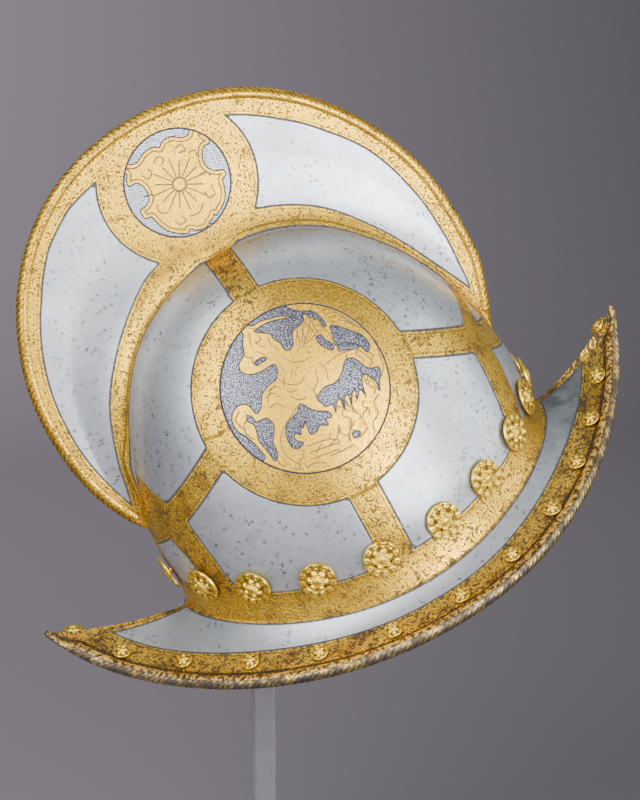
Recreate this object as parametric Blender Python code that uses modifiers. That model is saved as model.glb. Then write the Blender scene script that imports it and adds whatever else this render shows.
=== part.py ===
"""Comb morion helmet of raised steel with brass rosettes, on a clear display stand.

Metres, +Z up. The origin is the centre of the stand's underside; the front peak points to +X.
The helmet is laid out in its own frame (x fore, y left, z up from the skull's base) and leant back.
"""
import math

import bmesh
import bpy
import numpy as np
from mathutils import Matrix, Vector

# How the helmet sits on its stand
LEAN = math.radians(27.83)
HELMET_AT = (0.0573, 0.0, 0.2399)

# Skull
SKULL_HALF_LENGTH = 0.1128
SKULL_HALF_WIDTH = 0.088
SKULL_HEIGHT = 0.1665
FRONT_ROUNDNESS = 2.07
REAR_ROUNDNESS = 2.5
SIDE_DIP = 0.027
WAIST = 0.022
WAIST_UP = 0.013
WAIST_SPAN = 0.014
WALL = 0.0013

# Brim
FRONT_REACH = 0.1764
REAR_REACH = 0.1889
TIP_RISE = 0.026
BRIM_HALF_WIDTH = 0.116
BRIM_DROP = 0.0472
BRIM_SAG = 0.0032
ROLL_RADIUS = 0.0038
TIP_ROLL_RADIUS = 0.0017

# Comb
PIVOT_Z = 0.045
COMB_REACH = 0.2067
COMB_ROLL_RADIUS = 0.0039
COMB_NECK = 0.0031
COMB_FOOT = 0.0125
CAVITY_WALL = 0.0014
CAVITY_CROWN = 0.0095
CAVITY_MOUTH = 0.0068

# Comb outline from the pivot: angle in degrees from the front, radius as a share of COMB_REACH
COMB_OUTLINE = (
    (2.0, 0.524), (7.0, 0.546), (14.4, 0.585), (21.0, 0.627), (28.0, 0.663), (34.6, 0.703),
    (40.5, 0.743), (46.0, 0.779), (51.5, 0.814), (57.0, 0.849), (62.0, 0.880), (67.0, 0.910),
    (72.0, 0.936), (77.0, 0.958), (82.0, 0.975), (87.0, 0.987), (92.0, 0.995), (97.0, 0.999),
    (102.0, 0.999), (107.0, 0.993), (112.1, 0.980), (117.4, 0.960), (122.3, 0.935),
    (127.4, 0.906), (132.8, 0.870), (138.4, 0.832), (144.1, 0.791), (150.3, 0.743),
    (156.9, 0.695), (163.5, 0.648), (170.4, 0.596), (175.0, 0.562), (179.0, 0.530),
)

# Comb section: share of the comb's height, share of the way from neck to foot half thickness
COMB_SECTION = ((0.0, 1.08), (0.012, 1.0), (0.03, 0.80), (0.06, 0.58), (0.11, 0.37), (0.19, 0.19),
                (0.33, 0.07), (0.58, 0.01))

# Skull levels: share of the height from the skull's base to its crown
SKULL_LEVELS = (0.993, 0.97, 0.93, 0.875, 0.80, 0.71, 0.61, 0.50, 0.39, 0.29, 0.20, 0.13, 0.08, 0.035)
BRIM_STEPS = (0.12, 0.35, 0.58, 0.8)
SECTIONS = 44
COMB_STATIONS = 31
CAVITY_STATIONS = 16

# Rosettes round the skull base
ROSETTE_RADIUS = 0.0102
ROSETTE_UP = 0.022
ROSETTE_SHANK = 0.0016
ROSETTE_RISE = 0.0048
HEAD_SEAT = 0.0013
TAIL_REACH = 0.001
TAIL_END = 0.0009
ROSETTE_ANGLES = (8.5, 25.0, 42.0, 60.5, 78.0, 98.0, 116.5, 136.0, 155.0)

# Brim rivets
RIVET_RADIUS = 0.0052
RIVET_SHANK = 0.0011
RIVET_RISE = 0.0032
RIVET_SEAT = 0.0009
RIDGE_RIVETS = (0.84, -0.84)
HOLE_ROOM = 0.0003
HOLE_DEPTH = 0.005

# Brim rivets of one side: share of the half length, share of the way from skull to roll
RIVET_PLACES = (
    (0.90, 0.86), (0.785, 0.82), (0.64, 0.78), (0.465, 0.77), (0.265, 0.70), (0.06, 0.67),
    (-0.16, 0.65), (-0.38, 0.66), (-0.58, 0.69), (-0.765, 0.76), (-0.90, 0.87),
)

# Stand
POST_SIDE = 0.0125
POST_CHAMFER = 0.0008
BASE_SIZE = (0.18, 0.13, 0.010)
BASE_BEVEL = 0.0015
PAD_RADIUS = 0.022
PAD_RIM = 0.006
PAD_DOME = 0.006
PAD_SEAT = 0.0013
PAD_LEAN = math.radians(8.0)
GAP = 0.0003


def clear_scene():
    """Remove everything the start-up scene holds."""
    for obj in list(bpy.data.objects):
        bpy.data.objects.remove(obj, do_unlink=True)


def new_collection(name):
    """Add a collection under the scene's own."""
    group = bpy.data.collections.new(name)
    bpy.context.scene.collection.children.link(group)
    return group


def make_material(name, colour, metallic, roughness, transmission=0.0):
    """A Principled material of one colour."""
    mat = bpy.data.materials.new(name)
    mat.use_nodes = True
    shader = mat.node_tree.nodes["Principled BSDF"]
    shader.inputs["Base Color"].default_value = (*colour, 1.0)
    shader.inputs["Metallic"].default_value = metallic
    shader.inputs["Roughness"].default_value = roughness
    shader.inputs["Transmission Weight"].default_value = transmission
    return mat


def mesh_object(name, points, faces, group, mat=None):
    """An object from points and faces, its faces turned outwards."""
    mesh = bpy.data.meshes.new(name)
    mesh.from_pydata([tuple(map(float, p)) for p in points], [], faces)
    work = bmesh.new()
    work.from_mesh(mesh)
    bmesh.ops.recalc_face_normals(work, faces=work.faces)
    work.to_mesh(mesh)
    work.free()
    obj = bpy.data.objects.new(name, mesh)
    group.objects.link(obj)
    if mat:
        mesh.materials.append(mat)
    return obj


def ring_faces(first, second, count):
    """Quads between two rings that start at these vertex numbers."""
    return [(first + i, first + (i + 1) % count, second + (i + 1) % count, second + i)
            for i in range(count)]


def loft(name, rings, group, mat=None):
    """Closed solid through rings; a one-point ring is a pole, others are capped."""
    points, faces, starts = [], [], []
    for ring in rings:
        starts.append(len(points))
        points.extend(ring)
    for (ring, start), (after, begin) in zip(zip(rings, starts), zip(rings[1:], starts[1:])):
        if len(ring) == 1:
            n = len(after)
            faces += [(start, begin + i, begin + (i + 1) % n) for i in range(n)]
        elif len(after) == 1:
            n = len(ring)
            faces += [(begin, start + (i + 1) % n, start + i) for i in range(n)]
        else:
            faces += ring_faces(start, begin, len(ring))
    for ring, start in ((rings[0], starts[0]), (rings[-1], starts[-1])):
        if len(ring) > 2:
            faces.append(tuple(range(start, start + len(ring))))
    return mesh_object(name, points, faces, group, mat)


def base_height(turn):
    """Height of the skull's base line at this turn from the front."""
    return -SIDE_DIP * math.sin(turn) ** 2


def roundness(turn):
    """Power of the skull's upright section, fuller towards the back."""
    return FRONT_ROUNDNESS + 0.5 * (REAR_ROUNDNESS - FRONT_ROUNDNESS) * (1.0 - math.cos(turn))


def skull_point(turn, level):
    """Point on the skull's outside at a turn and a share of its height."""
    base = base_height(turn)
    rise = level * (SKULL_HEIGHT - base)
    power = roundness(turn)
    reach = (1.0 - level ** power) ** (1.0 / power)
    reach *= 1.0 - WAIST * math.exp(-((rise - WAIST_UP) / WAIST_SPAN) ** 2)
    return np.array((SKULL_HALF_LENGTH * math.cos(turn) * reach,
                     SKULL_HALF_WIDTH * math.sin(turn) * reach, base + rise))


def skull_normal(turn, level):
    """Outward normal of the skull at a turn and level."""
    step = 0.002
    along = skull_point(turn + step, level) - skull_point(turn - step, level)
    up = skull_point(turn, level + step) - skull_point(turn, level - step)
    normal = np.cross(along, up)
    return normal / np.linalg.norm(normal)


def inside_skull(point):
    """Negative inside the plain skull form, positive outside."""
    x, y, z = point
    across = math.hypot(x / SKULL_HALF_LENGTH, y / SKULL_HALF_WIDTH)
    turn = math.atan2(y / SKULL_HALF_WIDTH, x / SKULL_HALF_LENGTH)
    base = base_height(turn)
    level = max(0.0, (z - base) / (SKULL_HEIGHT - base))
    rise = max(0.0, z - base)
    waist = 1.0 - WAIST * math.exp(-((rise - WAIST_UP) / WAIST_SPAN) ** 2)
    power = roundness(turn)
    return (across / waist) ** power + level ** power - 1.0


def skull_reach(angle, side):
    """Distance from the comb's pivot to the skull at an angle, this far to the side."""
    low, high = 0.02, 0.2
    for _ in range(40):
        mid = 0.5 * (low + high)
        probe = (mid * math.cos(angle), side, PIVOT_Z + mid * math.sin(angle))
        low, high = (mid, high) if inside_skull(probe) < 0 else (low, mid)
    return low


def share_at(step):
    """Share of the half length for a section number; front tip 1, rear tip -1."""
    angle = 2.0 * math.pi * step / SECTIONS
    folded = min(angle, 2.0 * math.pi - angle)
    return 0.5 * math.cos(folded) + 0.5 * (1.0 - 2.0 * folded / math.pi)


def turn_at(share, side):
    """Turn round the skull that meets the brim at this share of its length."""
    quarter = 0.5 * math.pi * (1.0 - min(1.0, abs(share))) ** 1.1
    return side * (quarter if share >= 0 else math.pi - quarter)


def brim_edge(share, side):
    """Outer edge of the brim."""
    s = min(1.0, abs(share))
    rise = 0.549 * s ** 2 + 0.340 * s ** 6 + 0.111 * s ** 24
    reach = FRONT_REACH if share >= 0 else REAR_REACH
    return np.array((share * reach, side * BRIM_HALF_WIDTH * (1.0 - s ** 2.2) ** 1.1,
                     -BRIM_DROP + (BRIM_DROP + TIP_RISE) * rise))


def brim_frame(share, side):
    """Roll centre, roll radius, outward direction and upward normal at the brim's edge."""
    edge = brim_edge(share, side)
    root = skull_point(turn_at(share, side), 0.0)
    if abs(share) > 0.999:
        along = np.array((0.0, 1.0, 0.0))
    else:
        step = 0.004
        along = brim_edge(share - step, side) - brim_edge(share + step, side)
        along *= side
    along /= np.linalg.norm(along)
    if share < -0.999:
        along = -along
    out = edge - root
    out -= along * np.dot(out, along)
    out /= np.linalg.norm(out)
    up = np.cross(out, along)
    up *= math.copysign(1.0, up[2])
    radius = TIP_ROLL_RADIUS
    if abs(share) < 0.999:
        radius = min(ROLL_RADIUS, 0.42 * abs(edge[1]))
    return edge - out * radius, radius, out, up


def brim_point(share, side, across):
    """Top of the brim, from the skull's base (0) to the roll (1)."""
    root = skull_point(turn_at(share, side), 0.0)
    centre, radius, out, up = brim_frame(share, side)
    half = min(0.5 * WALL, 0.6 * radius)
    end = centre - out * math.sqrt(radius ** 2 - half ** 2) + up * half
    point = root + (end - root) * across
    point[2] -= BRIM_SAG * 4.0 * across * (1.0 - across)
    return point


def brim_normal(share, side, across):
    """Upward normal of the brim's top."""
    step = 0.004
    inner = min(abs(share), 0.99) * math.copysign(1.0, share)
    along = brim_point(inner + step, side, across) - brim_point(inner - step, side, across)
    over = brim_point(inner, side, min(1.0, across + 0.02)) - brim_point(inner, side, across - 0.02)
    normal = np.cross(along, over)
    normal *= math.copysign(1.0, normal[2])
    return normal / np.linalg.norm(normal)


def outside_rings():
    """Rings of the shell's outside from the crown down to the roll."""
    rings = []
    spots = [(share_at(i), 1.0 if i <= SECTIONS // 2 else -1.0) for i in range(SECTIONS)]
    for level in SKULL_LEVELS:
        rings.append([skull_point(turn_at(s, side), level) for s, side in spots])
    rings.append([skull_point(turn_at(s, side), 0.0) for s, side in spots])
    for step in BRIM_STEPS + (1.0,):
        rings.append([brim_point(s, side, step) for s, side in spots])
    return spots, [np.array(ring) for ring in rings]


def offset_rings(rings):
    """The rings moved inwards by the wall, square to the surface."""
    grid = np.array(rings)
    after, before = np.roll(grid, -1, axis=1), np.roll(grid, 1, axis=1)
    down = np.concatenate((grid[1:2] - grid[0:1], grid[2:] - grid[:-2], grid[-1:] - grid[-2:-1]))
    full = np.cross(down, after - before)
    part = np.cross(down, after - grid)
    full /= np.linalg.norm(full, axis=2, keepdims=True)
    part /= np.linalg.norm(part, axis=2, keepdims=True)
    mitre = np.clip((full * part).sum(axis=2, keepdims=True), 0.45, 1.0)
    return grid - full * WALL / mitre


def roll_points(share, side):
    """Round of the rolled brim edge, from its top over the outside to its underside."""
    centre, radius, out, up = brim_frame(share, side)
    turns = (118.0, 72.0, 28.0, -12.0, -52.0, -92.0, -128.0)
    return [centre + radius * (math.cos(math.radians(a)) * out + math.sin(math.radians(a)) * up)
            for a in turns]


def build_skin(group, mat):
    """Skull and brim with the rolled edge: one closed shell of even wall."""
    spots, outer = outside_rings()
    inner = offset_rings(outer)
    rolls = np.array([roll_points(s, side) for s, side in spots]).transpose(1, 0, 2)
    crown = np.array((0.0, 0.0, SKULL_HEIGHT))
    rings = [[crown]] + [list(r) for r in outer] + [list(r) for r in rolls]
    rings += [list(r) for r in inner[-2::-1]] + [[crown - (0.0, 0.0, WALL)]]
    return loft("helmet_shell", rings, group, mat)


def comb_edge(angle):
    """Distance of the comb's edge from the pivot."""
    table = np.array(COMB_OUTLINE)
    return COMB_REACH * float(np.interp(math.degrees(angle), table[:, 0], table[:, 1]))


def comb_place(angle, side, height):
    """Point this high over the skull on the comb, this far to the side."""
    reach = skull_reach(angle, side) + height
    return np.array((reach * math.cos(angle), side, PIVOT_Z + reach * math.sin(angle)))


def comb_half(share, tall):
    """Half thickness of the comb at a share of its height, for a comb this tall."""
    table = np.array(COMB_SECTION)
    flare = float(np.interp(share, table[:, 0], table[:, 1]))
    foot = COMB_FOOT * min(1.0, 0.34 + tall / 0.045)
    return COMB_NECK + (foot - COMB_NECK) * flare


def comb_ring(angle):
    """Section of the solid comb: foot in the wall, hollow flare, neck, round roll."""
    top = comb_edge(angle) - skull_reach(angle, 0.0)
    tall = max(top, 0.0006)
    sunk = -0.5 * WALL
    radius = min(COMB_ROLL_RADIUS, 0.45 * tall + 0.0003)
    right = []
    for share, _ in COMB_SECTION:
        height = sunk + (tall - 1.7 * radius - sunk) * share / 0.72
        right.append((comb_half(share, tall), height))
    for a in (-48.0, -14.0, 22.0, 58.0):
        right.append((radius * math.cos(math.radians(a)),
                      tall - radius + radius * math.sin(math.radians(a))))
    bed = 0.5 * right[0][0]
    ring = [(0.0, sunk), (bed, sunk)] + right + [(0.0, tall)]
    ring += [(-w, h) for w, h in reversed(right)] + [(-bed, sunk)]
    return [comb_place(angle, w, h) for w, h in ring]


def comb_angles(first, last, count):
    """Angles in radians between two in degrees."""
    return [math.radians(first + (last - first) * i / (count - 1)) for i in range(count)]


def build_comb(group):
    """The comb as a solid whose foot ends inside the skull's wall."""
    table = np.array(COMB_OUTLINE)
    rings = [comb_ring(a) for a in comb_angles(table[0, 0], table[-1, 0], COMB_STATIONS)]
    return loft("comb_solid", rings, group)


def cavity_ring(angle):
    """Section of the hollow inside the comb, open to the skull's inside."""
    top = comb_edge(angle) - skull_reach(angle, 0.0)
    tall = top - CAVITY_CROWN
    right = [(CAVITY_MOUTH, -4.5 * WALL)]
    for share in (0.05, 0.15, 0.35, 0.7, 0.97):
        height = tall * share
        half = comb_half(0.72 * height / (top - 1.7 * COMB_ROLL_RADIUS), top)
        right.append((min(half - CAVITY_WALL, CAVITY_MOUTH * (1.0 - 0.5 * share)), height))
    right.append((0.0009, tall))
    ring = right + [(-w, h) for w, h in reversed(right)]
    return [comb_place(angle, w, h) for w, h in ring]


def build_cavity(group):
    """Cutter for the comb's hollow."""
    rings = [cavity_ring(a) for a in comb_angles(24.0, 157.0, CAVITY_STATIONS)]
    return loft("comb_hollow", rings, group)


def apply_boolean(target, tool, operation):
    """Carry out one exact Boolean and keep its result."""
    cut = target.modifiers.new("cut", "BOOLEAN")
    cut.operation = operation
    cut.solver = "EXACT"
    cut.object = tool
    bpy.context.view_layer.update()
    graph = bpy.context.evaluated_depsgraph_get()
    result = bpy.data.meshes.new_from_object(target.evaluated_get(graph))
    target.modifiers.remove(cut)
    target.data = result
    tool.hide_render = True
    tool.display_type = "WIRE"


def turned_frame(point, normal):
    """Matrix that takes local Z to this normal at this point."""
    turn = Vector(normal).to_track_quat("Z", "X").to_matrix().to_4x4()
    return Matrix.Translation(Vector(point)) @ turn


def rosette_spots():
    """Place and normal of each skull rosette: both sides, and one at the rear."""
    spots = []
    for side in (-1.0, 1.0):
        for degrees in ROSETTE_ANGLES:
            turn = side * math.radians(degrees)
            level = ROSETTE_UP / (SKULL_HEIGHT - base_height(turn))
            spots.append((skull_point(turn, level), skull_normal(turn, level)))
    level = ROSETTE_UP / SKULL_HEIGHT
    spots.append((skull_point(math.pi, level), skull_normal(math.pi, level)))
    return spots


def rivet_spots():
    """Place and normal of each brim rivet: both sides, and one on each ridge."""
    spots = []
    for side in (-1.0, 1.0):
        for share, across in RIVET_PLACES:
            spots.append((brim_point(share, side, across), brim_normal(share, side, across)))
    for across in RIDGE_RIVETS:
        share = math.copysign(1.0, across)
        point = brim_point(share, 1.0, abs(across))
        slope = brim_point(share, 1.0, 0.85) - brim_point(share, 1.0, 0.75)
        normal = np.cross(slope, (0.0, 1.0, 0.0))
        normal *= math.copysign(1.0, normal[2])
        spots.append((point, normal / np.linalg.norm(normal)))
    return spots


def build_holes(spots, radius, sides, group, name):
    """One cutter made of a short pin through the wall at each spot."""
    points, faces = [], []
    for point, normal in spots:
        frame = turned_frame(point, normal)
        start = len(points)
        reach = radius / math.cos(math.pi / sides)
        for height in (0.8 * HOLE_DEPTH, -1.2 * HOLE_DEPTH):
            for i in range(sides):
                a = 2.0 * math.pi * i / sides
                points.append(frame @ Vector((reach * math.cos(a), reach * math.sin(a), height)))
        faces += ring_faces(start, start + sides, sides)
        faces.append(tuple(range(start, start + sides)))
        faces.append(tuple(range(start + sides, start + 2 * sides)))
    return mesh_object(name, points, faces, group)


def build_rivet(name, profile, sides, frame, parent, group, mat):
    """A turned rivet from a profile of radius and height, placed on the helmet."""
    rings = []
    for radius, height in profile:
        if radius == 0.0:
            rings.append([(0.0, 0.0, height)])
        else:
            rings.append([(radius * math.cos(2.0 * math.pi * i / sides),
                           radius * math.sin(2.0 * math.pi * i / sides), height)
                          for i in range(sides)])
    obj = loft(name, rings, group, mat)
    obj.parent = parent
    obj.matrix_local = frame
    return obj


def rosette_profile():
    """Radius and height down a rosette: boss, dished head, shank, peened end."""
    r, t = ROSETTE_RADIUS, WALL
    tall, tail = ROSETTE_RISE, -t - TAIL_REACH
    return ((0.0, tall), (0.32 * r, 0.79 * tall), (0.62 * r, 0.52 * tall), (r, 0.44 * tall),
            (ROSETTE_SHANK, HEAD_SEAT), (ROSETTE_SHANK, tail), (1.6 * ROSETTE_SHANK, tail),
            (0.0, tail - TAIL_END))


def rivet_profile():
    """Radius and height down a brim rivet: domed head and shank."""
    r, t = RIVET_RADIUS, WALL
    tall, tail = RIVET_RISE, -t - TAIL_REACH
    return ((0.0, tall), (0.55 * r, 0.81 * tall), (r, 1.1 * RIVET_SEAT), (RIVET_SHANK, RIVET_SEAT),
            (RIVET_SHANK, tail), (0.0, tail - 0.4 * TAIL_END))


def add_rivets(shell, group, mat):
    """Rosettes and brim rivets on the helmet."""
    for number, (point, normal) in enumerate(rosette_spots(), 1):
        build_rivet(f"rosette_{number:02d}", rosette_profile(), 10,
                    turned_frame(point, normal), shell, group, mat)
    for number, (point, normal) in enumerate(rivet_spots(), 1):
        build_rivet(f"brim_rivet_{number:02d}", rivet_profile(), 7,
                    turned_frame(point, normal), shell, group, mat)


def build_helmet(group, cutters, steel, brass):
    """Shell with comb, hollow and rivet holes, leant back; then its rivets."""
    shell = build_skin(group, steel)
    apply_boolean(shell, build_comb(cutters), "UNION")
    apply_boolean(shell, build_cavity(cutters), "DIFFERENCE")
    holes = build_holes(rosette_spots(), ROSETTE_SHANK + HOLE_ROOM, 8, cutters, "rosette_holes")
    apply_boolean(shell, holes, "DIFFERENCE")
    holes = build_holes(rivet_spots(), RIVET_SHANK + HOLE_ROOM, 6, cutters, "rivet_holes")
    apply_boolean(shell, holes, "DIFFERENCE")
    shell.location = HELMET_AT
    shell.rotation_euler = (0.0, -LEAN, 0.0)
    bpy.context.view_layer.update()
    add_rivets(shell, group, brass)
    return shell


def build_box(name, size, centre, bevel, group, mat):
    """A box with its edges broken by a bevel."""
    half = [0.5 * s for s in size]
    bpy.ops.mesh.primitive_cube_add(size=1.0, location=centre)
    obj = bpy.context.active_object
    obj.name = obj.data.name = name
    obj.scale = (2 * half[0], 2 * half[1], 2 * half[2])
    bpy.ops.object.transform_apply(location=False, rotation=False, scale=True)
    for old in list(obj.users_collection):
        old.objects.unlink(obj)
    group.objects.link(obj)
    obj.data.materials.append(mat)
    edge = obj.modifiers.new("broken edges", "BEVEL")
    edge.width = bevel
    edge.segments = 1
    return obj


def pad_top():
    """Height of the pad's top: under the skull's crown, where the post's axis meets it."""
    low, high = HELMET_AT[2], HELMET_AT[2] + 1.2 * SKULL_HEIGHT
    for _ in range(40):
        mid = 0.5 * (low + high)
        drop = mid - HELMET_AT[2]
        probe = (-HELMET_AT[0] * math.cos(LEAN) + drop * math.sin(LEAN), 0.0,
                 HELMET_AT[0] * math.sin(LEAN) + drop * math.cos(LEAN))
        low, high = (mid, high) if inside_skull(probe) < 0 else (low, mid)
    return low - WALL - PAD_SEAT


def build_pad(group, mat):
    """Domed pad on the post, under the crown."""
    r = PAD_RADIUS
    sides = 24
    profile = ((0.0, 0.0), (0.45 * r, -0.18 * PAD_DOME), (0.8 * r, -0.62 * PAD_DOME),
               (r, -PAD_DOME), (r, -PAD_DOME - PAD_RIM))
    rings = []
    for radius, height in profile:
        count = 1 if radius == 0.0 else sides
        rings.append([(radius * math.cos(2.0 * math.pi * i / sides),
                       radius * math.sin(2.0 * math.pi * i / sides), height)
                      for i in range(count)])
    pad = loft("stand_pad", rings, group, mat)
    pad.location = (0.0, 0.0, pad_top())
    pad.rotation_euler = (0.0, -PAD_LEAN, 0.0)
    return pad


def build_stand(group, clear):
    """Base plate, square post and pad."""
    thick = BASE_SIZE[2]
    build_box("stand_base", BASE_SIZE, (0.0, 0.0, 0.5 * thick), BASE_BEVEL, group, clear)
    low = thick + GAP
    high = pad_top() - (PAD_DOME + PAD_RIM) / math.cos(PAD_LEAN) - GAP
    high -= 0.5 * POST_SIDE * math.tan(PAD_LEAN)
    build_box("stand_post", (POST_SIDE, POST_SIDE, high - low), (0.0, 0.0, 0.5 * (high + low)),
              POST_CHAMFER, group, clear)
    build_pad(group, clear)


def main():
    """Build the helmet and its stand."""
    clear_scene()
    group = new_collection("comb_morion")
    cutters = new_collection("cutters")
    steel = make_material("etched_steel", (0.62, 0.64, 0.66), 1.0, 0.34)
    brass = make_material("gilt_brass", (0.83, 0.62, 0.25), 1.0, 0.32)
    clear = make_material("clear_acrylic", (0.94, 0.95, 0.96), 0.0, 0.05, 0.9)
    build_helmet(group, cutters, steel, brass)
    build_stand(group, clear)


main()
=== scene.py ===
"""Looks of the comb morion: etched and gilt skins, roped rims, cast rosettes and a clear stand.

Metres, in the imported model's frame. The helmet is laid out in its own frame, as in the part's
source: x fore, y to the wearer's left, z up from the skull's base. It is then leant back.
"""
import logging
import math
from dataclasses import dataclass, field
from enum import Enum
from typing import Callable

import bmesh
import bpy
import numpy as np
from mathutils import Matrix, Vector
from mathutils.bvhtree import BVHTree


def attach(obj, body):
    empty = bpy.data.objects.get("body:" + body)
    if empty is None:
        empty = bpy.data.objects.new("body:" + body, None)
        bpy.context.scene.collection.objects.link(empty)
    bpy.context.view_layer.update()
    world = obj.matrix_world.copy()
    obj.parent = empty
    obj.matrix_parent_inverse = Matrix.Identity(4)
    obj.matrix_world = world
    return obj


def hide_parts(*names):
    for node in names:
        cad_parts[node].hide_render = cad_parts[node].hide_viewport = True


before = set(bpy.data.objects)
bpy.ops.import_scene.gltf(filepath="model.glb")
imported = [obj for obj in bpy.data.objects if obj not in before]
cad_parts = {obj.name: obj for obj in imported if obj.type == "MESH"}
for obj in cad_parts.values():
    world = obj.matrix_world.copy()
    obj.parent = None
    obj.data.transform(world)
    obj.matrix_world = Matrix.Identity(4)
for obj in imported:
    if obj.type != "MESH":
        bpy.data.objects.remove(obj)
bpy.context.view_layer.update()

LOG = logging.getLogger("morion")

# How the helmet sits on its stand
LEAN = math.radians(27.83)
HELMET_AT = (0.0573, 0.0, 0.2399)

# Skull
SKULL_HALF_LENGTH = 0.1128
SKULL_HALF_WIDTH = 0.088
SKULL_HEIGHT = 0.1665
FRONT_ROUNDNESS = 2.07
REAR_ROUNDNESS = 2.5
SIDE_DIP = 0.027
WAIST = 0.022
WAIST_UP = 0.013
WAIST_SPAN = 0.014
WALL = 0.0013

# Brim
FRONT_REACH = 0.1764
REAR_REACH = 0.1889
TIP_RISE = 0.026
BRIM_HALF_WIDTH = 0.116
BRIM_DROP = 0.0472
BRIM_SAG = 0.0032
ROLL_RADIUS = 0.0038
TIP_ROLL_RADIUS = 0.0017

# Comb
PIVOT_Z = 0.045
COMB_REACH = 0.2067
COMB_ROLL_RADIUS = 0.0039
COMB_NECK = 0.0031
COMB_FOOT = 0.0125
COMB_LEAST_RISE = 0.0006

# Comb outline from the pivot: angle in degrees from the front, radius as a share of COMB_REACH
COMB_OUTLINE = (
    (2.0, 0.524), (7.0, 0.546), (14.4, 0.585), (21.0, 0.627), (28.0, 0.663), (34.6, 0.703),
    (40.5, 0.743), (46.0, 0.779), (51.5, 0.814), (57.0, 0.849), (62.0, 0.880), (67.0, 0.910),
    (72.0, 0.936), (77.0, 0.958), (82.0, 0.975), (87.0, 0.987), (92.0, 0.995), (97.0, 0.999),
    (102.0, 0.999), (107.0, 0.993), (112.1, 0.980), (117.4, 0.960), (122.3, 0.935),
    (127.4, 0.906), (132.8, 0.870), (138.4, 0.832), (144.1, 0.791), (150.3, 0.743),
    (156.9, 0.695), (163.5, 0.648), (170.4, 0.596), (175.0, 0.562), (179.0, 0.530),
)

# Rosettes and brim rivets
ROSETTE_RADIUS = 0.0102
ROSETTE_UP = 0.022
ROSETTE_SHANK = 0.0016
ROSETTE_RISE = 0.0048
HEAD_SEAT = 0.0013
TAIL_REACH = 0.001
TAIL_END = 0.0009
ROSETTE_ANGLES = (8.5, 25.0, 42.0, 60.5, 78.0, 98.0, 116.5, 136.0, 155.0)
RIVET_RADIUS = 0.0052
RIVET_SHANK = 0.0011
RIVET_RISE = 0.0032
RIVET_SEAT = 0.0009
RIDGE_RIVETS = (0.84, -0.84)

# Brim rivets of one side: share of the half length, share of the way from skull to roll
RIVET_PLACES = (
    (0.90, 0.86), (0.785, 0.82), (0.64, 0.78), (0.465, 0.77), (0.265, 0.70), (0.06, 0.67),
    (-0.16, 0.65), (-0.38, 0.66), (-0.58, 0.69), (-0.765, 0.76), (-0.90, 0.87),
)

MM = 0.001
WELD = 2e-6
FAR_OUT = -50.0
ALL_GILT = 20.0
TO_WORLD = Matrix.Translation(Vector(HELMET_AT)) @ Matrix.Rotation(-LEAN, 4, "Y")


class Side(Enum):
    """The helmet's two sides, as the sign of y."""

    RIGHT = -1.0
    LEFT = 1.0


# The helmet's form, the same functions as the part's source, on arrays


def base_height(turn: np.ndarray) -> np.ndarray:
    """Height of the skull's base line at turns from the front."""
    return -SIDE_DIP * np.sin(turn) ** 2


def waist_at(rise: np.ndarray) -> np.ndarray:
    """Share of the full width that the skull keeps at a height over its base line."""
    return 1.0 - WAIST * np.exp(-((rise - WAIST_UP) / WAIST_SPAN) ** 2)


def roundness(turn: np.ndarray) -> np.ndarray:
    """Power of the skull's upright section, fuller towards the back."""
    return FRONT_ROUNDNESS + 0.5 * (REAR_ROUNDNESS - FRONT_ROUNDNESS) * (1.0 - np.cos(turn))


def skull_point(turn: np.ndarray, level: np.ndarray) -> np.ndarray:
    """Points on the skull's outside.

    Args:
        turn: Turns from the front, positive to the wearer's left.
        level: Shares of the height from the base line to the crown.

    Returns:
        Points in the helmet's frame, last axis x, y, z.
    """
    base = base_height(turn)
    rise = level * (SKULL_HEIGHT - base)
    power = roundness(turn)
    reach = np.clip(1.0 - level ** power, 0.0, 1.0) ** (1.0 / power)
    reach = reach * waist_at(rise)
    return np.stack((SKULL_HALF_LENGTH * np.cos(turn) * reach,
                     SKULL_HALF_WIDTH * np.sin(turn) * reach, base + rise), axis=-1)


def inside_skull(points: np.ndarray) -> np.ndarray:
    """Negative inside the plain skull form, positive outside."""
    x, y, z = points[..., 0], points[..., 1], points[..., 2]
    across = np.hypot(x / SKULL_HALF_LENGTH, y / SKULL_HALF_WIDTH)
    turn = np.arctan2(y / SKULL_HALF_WIDTH, x / SKULL_HALF_LENGTH)
    base, power = base_height(turn), roundness(turn)
    rise = np.maximum(0.0, z - base)
    level = rise / (SKULL_HEIGHT - base)
    return (across / waist_at(rise)) ** power + level ** power - 1.0


def surface_at(place: Callable, count: int, low: float, high: float, steps: int) -> np.ndarray:
    """Where lines leave the skull, by halving.

    Args:
        place: Gives the lines' points at an array of distances along them.
        count: Number of lines.
        low: Distance that lies inside.
        high: Distance that lies outside.
        steps: Halvings.

    Returns:
        The distance along each line.
    """
    low, high = np.full(count, low), np.full(count, high)
    for _ in range(steps):
        mid = 0.5 * (low + high)
        inside = inside_skull(place(mid)) < 0.0
        low, high = np.where(inside, mid, low), np.where(inside, high, mid)
    return low


def comb_line(angle: np.ndarray, side: np.ndarray, reach: np.ndarray) -> np.ndarray:
    """Points this far from the comb's pivot at an angle, this far to the side."""
    return np.stack((reach * np.cos(angle), side + 0.0 * reach,
                     PIVOT_Z + reach * np.sin(angle)), axis=-1)


def skull_reach(angle: np.ndarray, side: np.ndarray) -> np.ndarray:
    """Distance from the comb's pivot to the skull at an angle, this far to the side."""
    return surface_at(lambda reach: comb_line(angle, side, reach), len(angle), 0.02, 0.2, 30)


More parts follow.
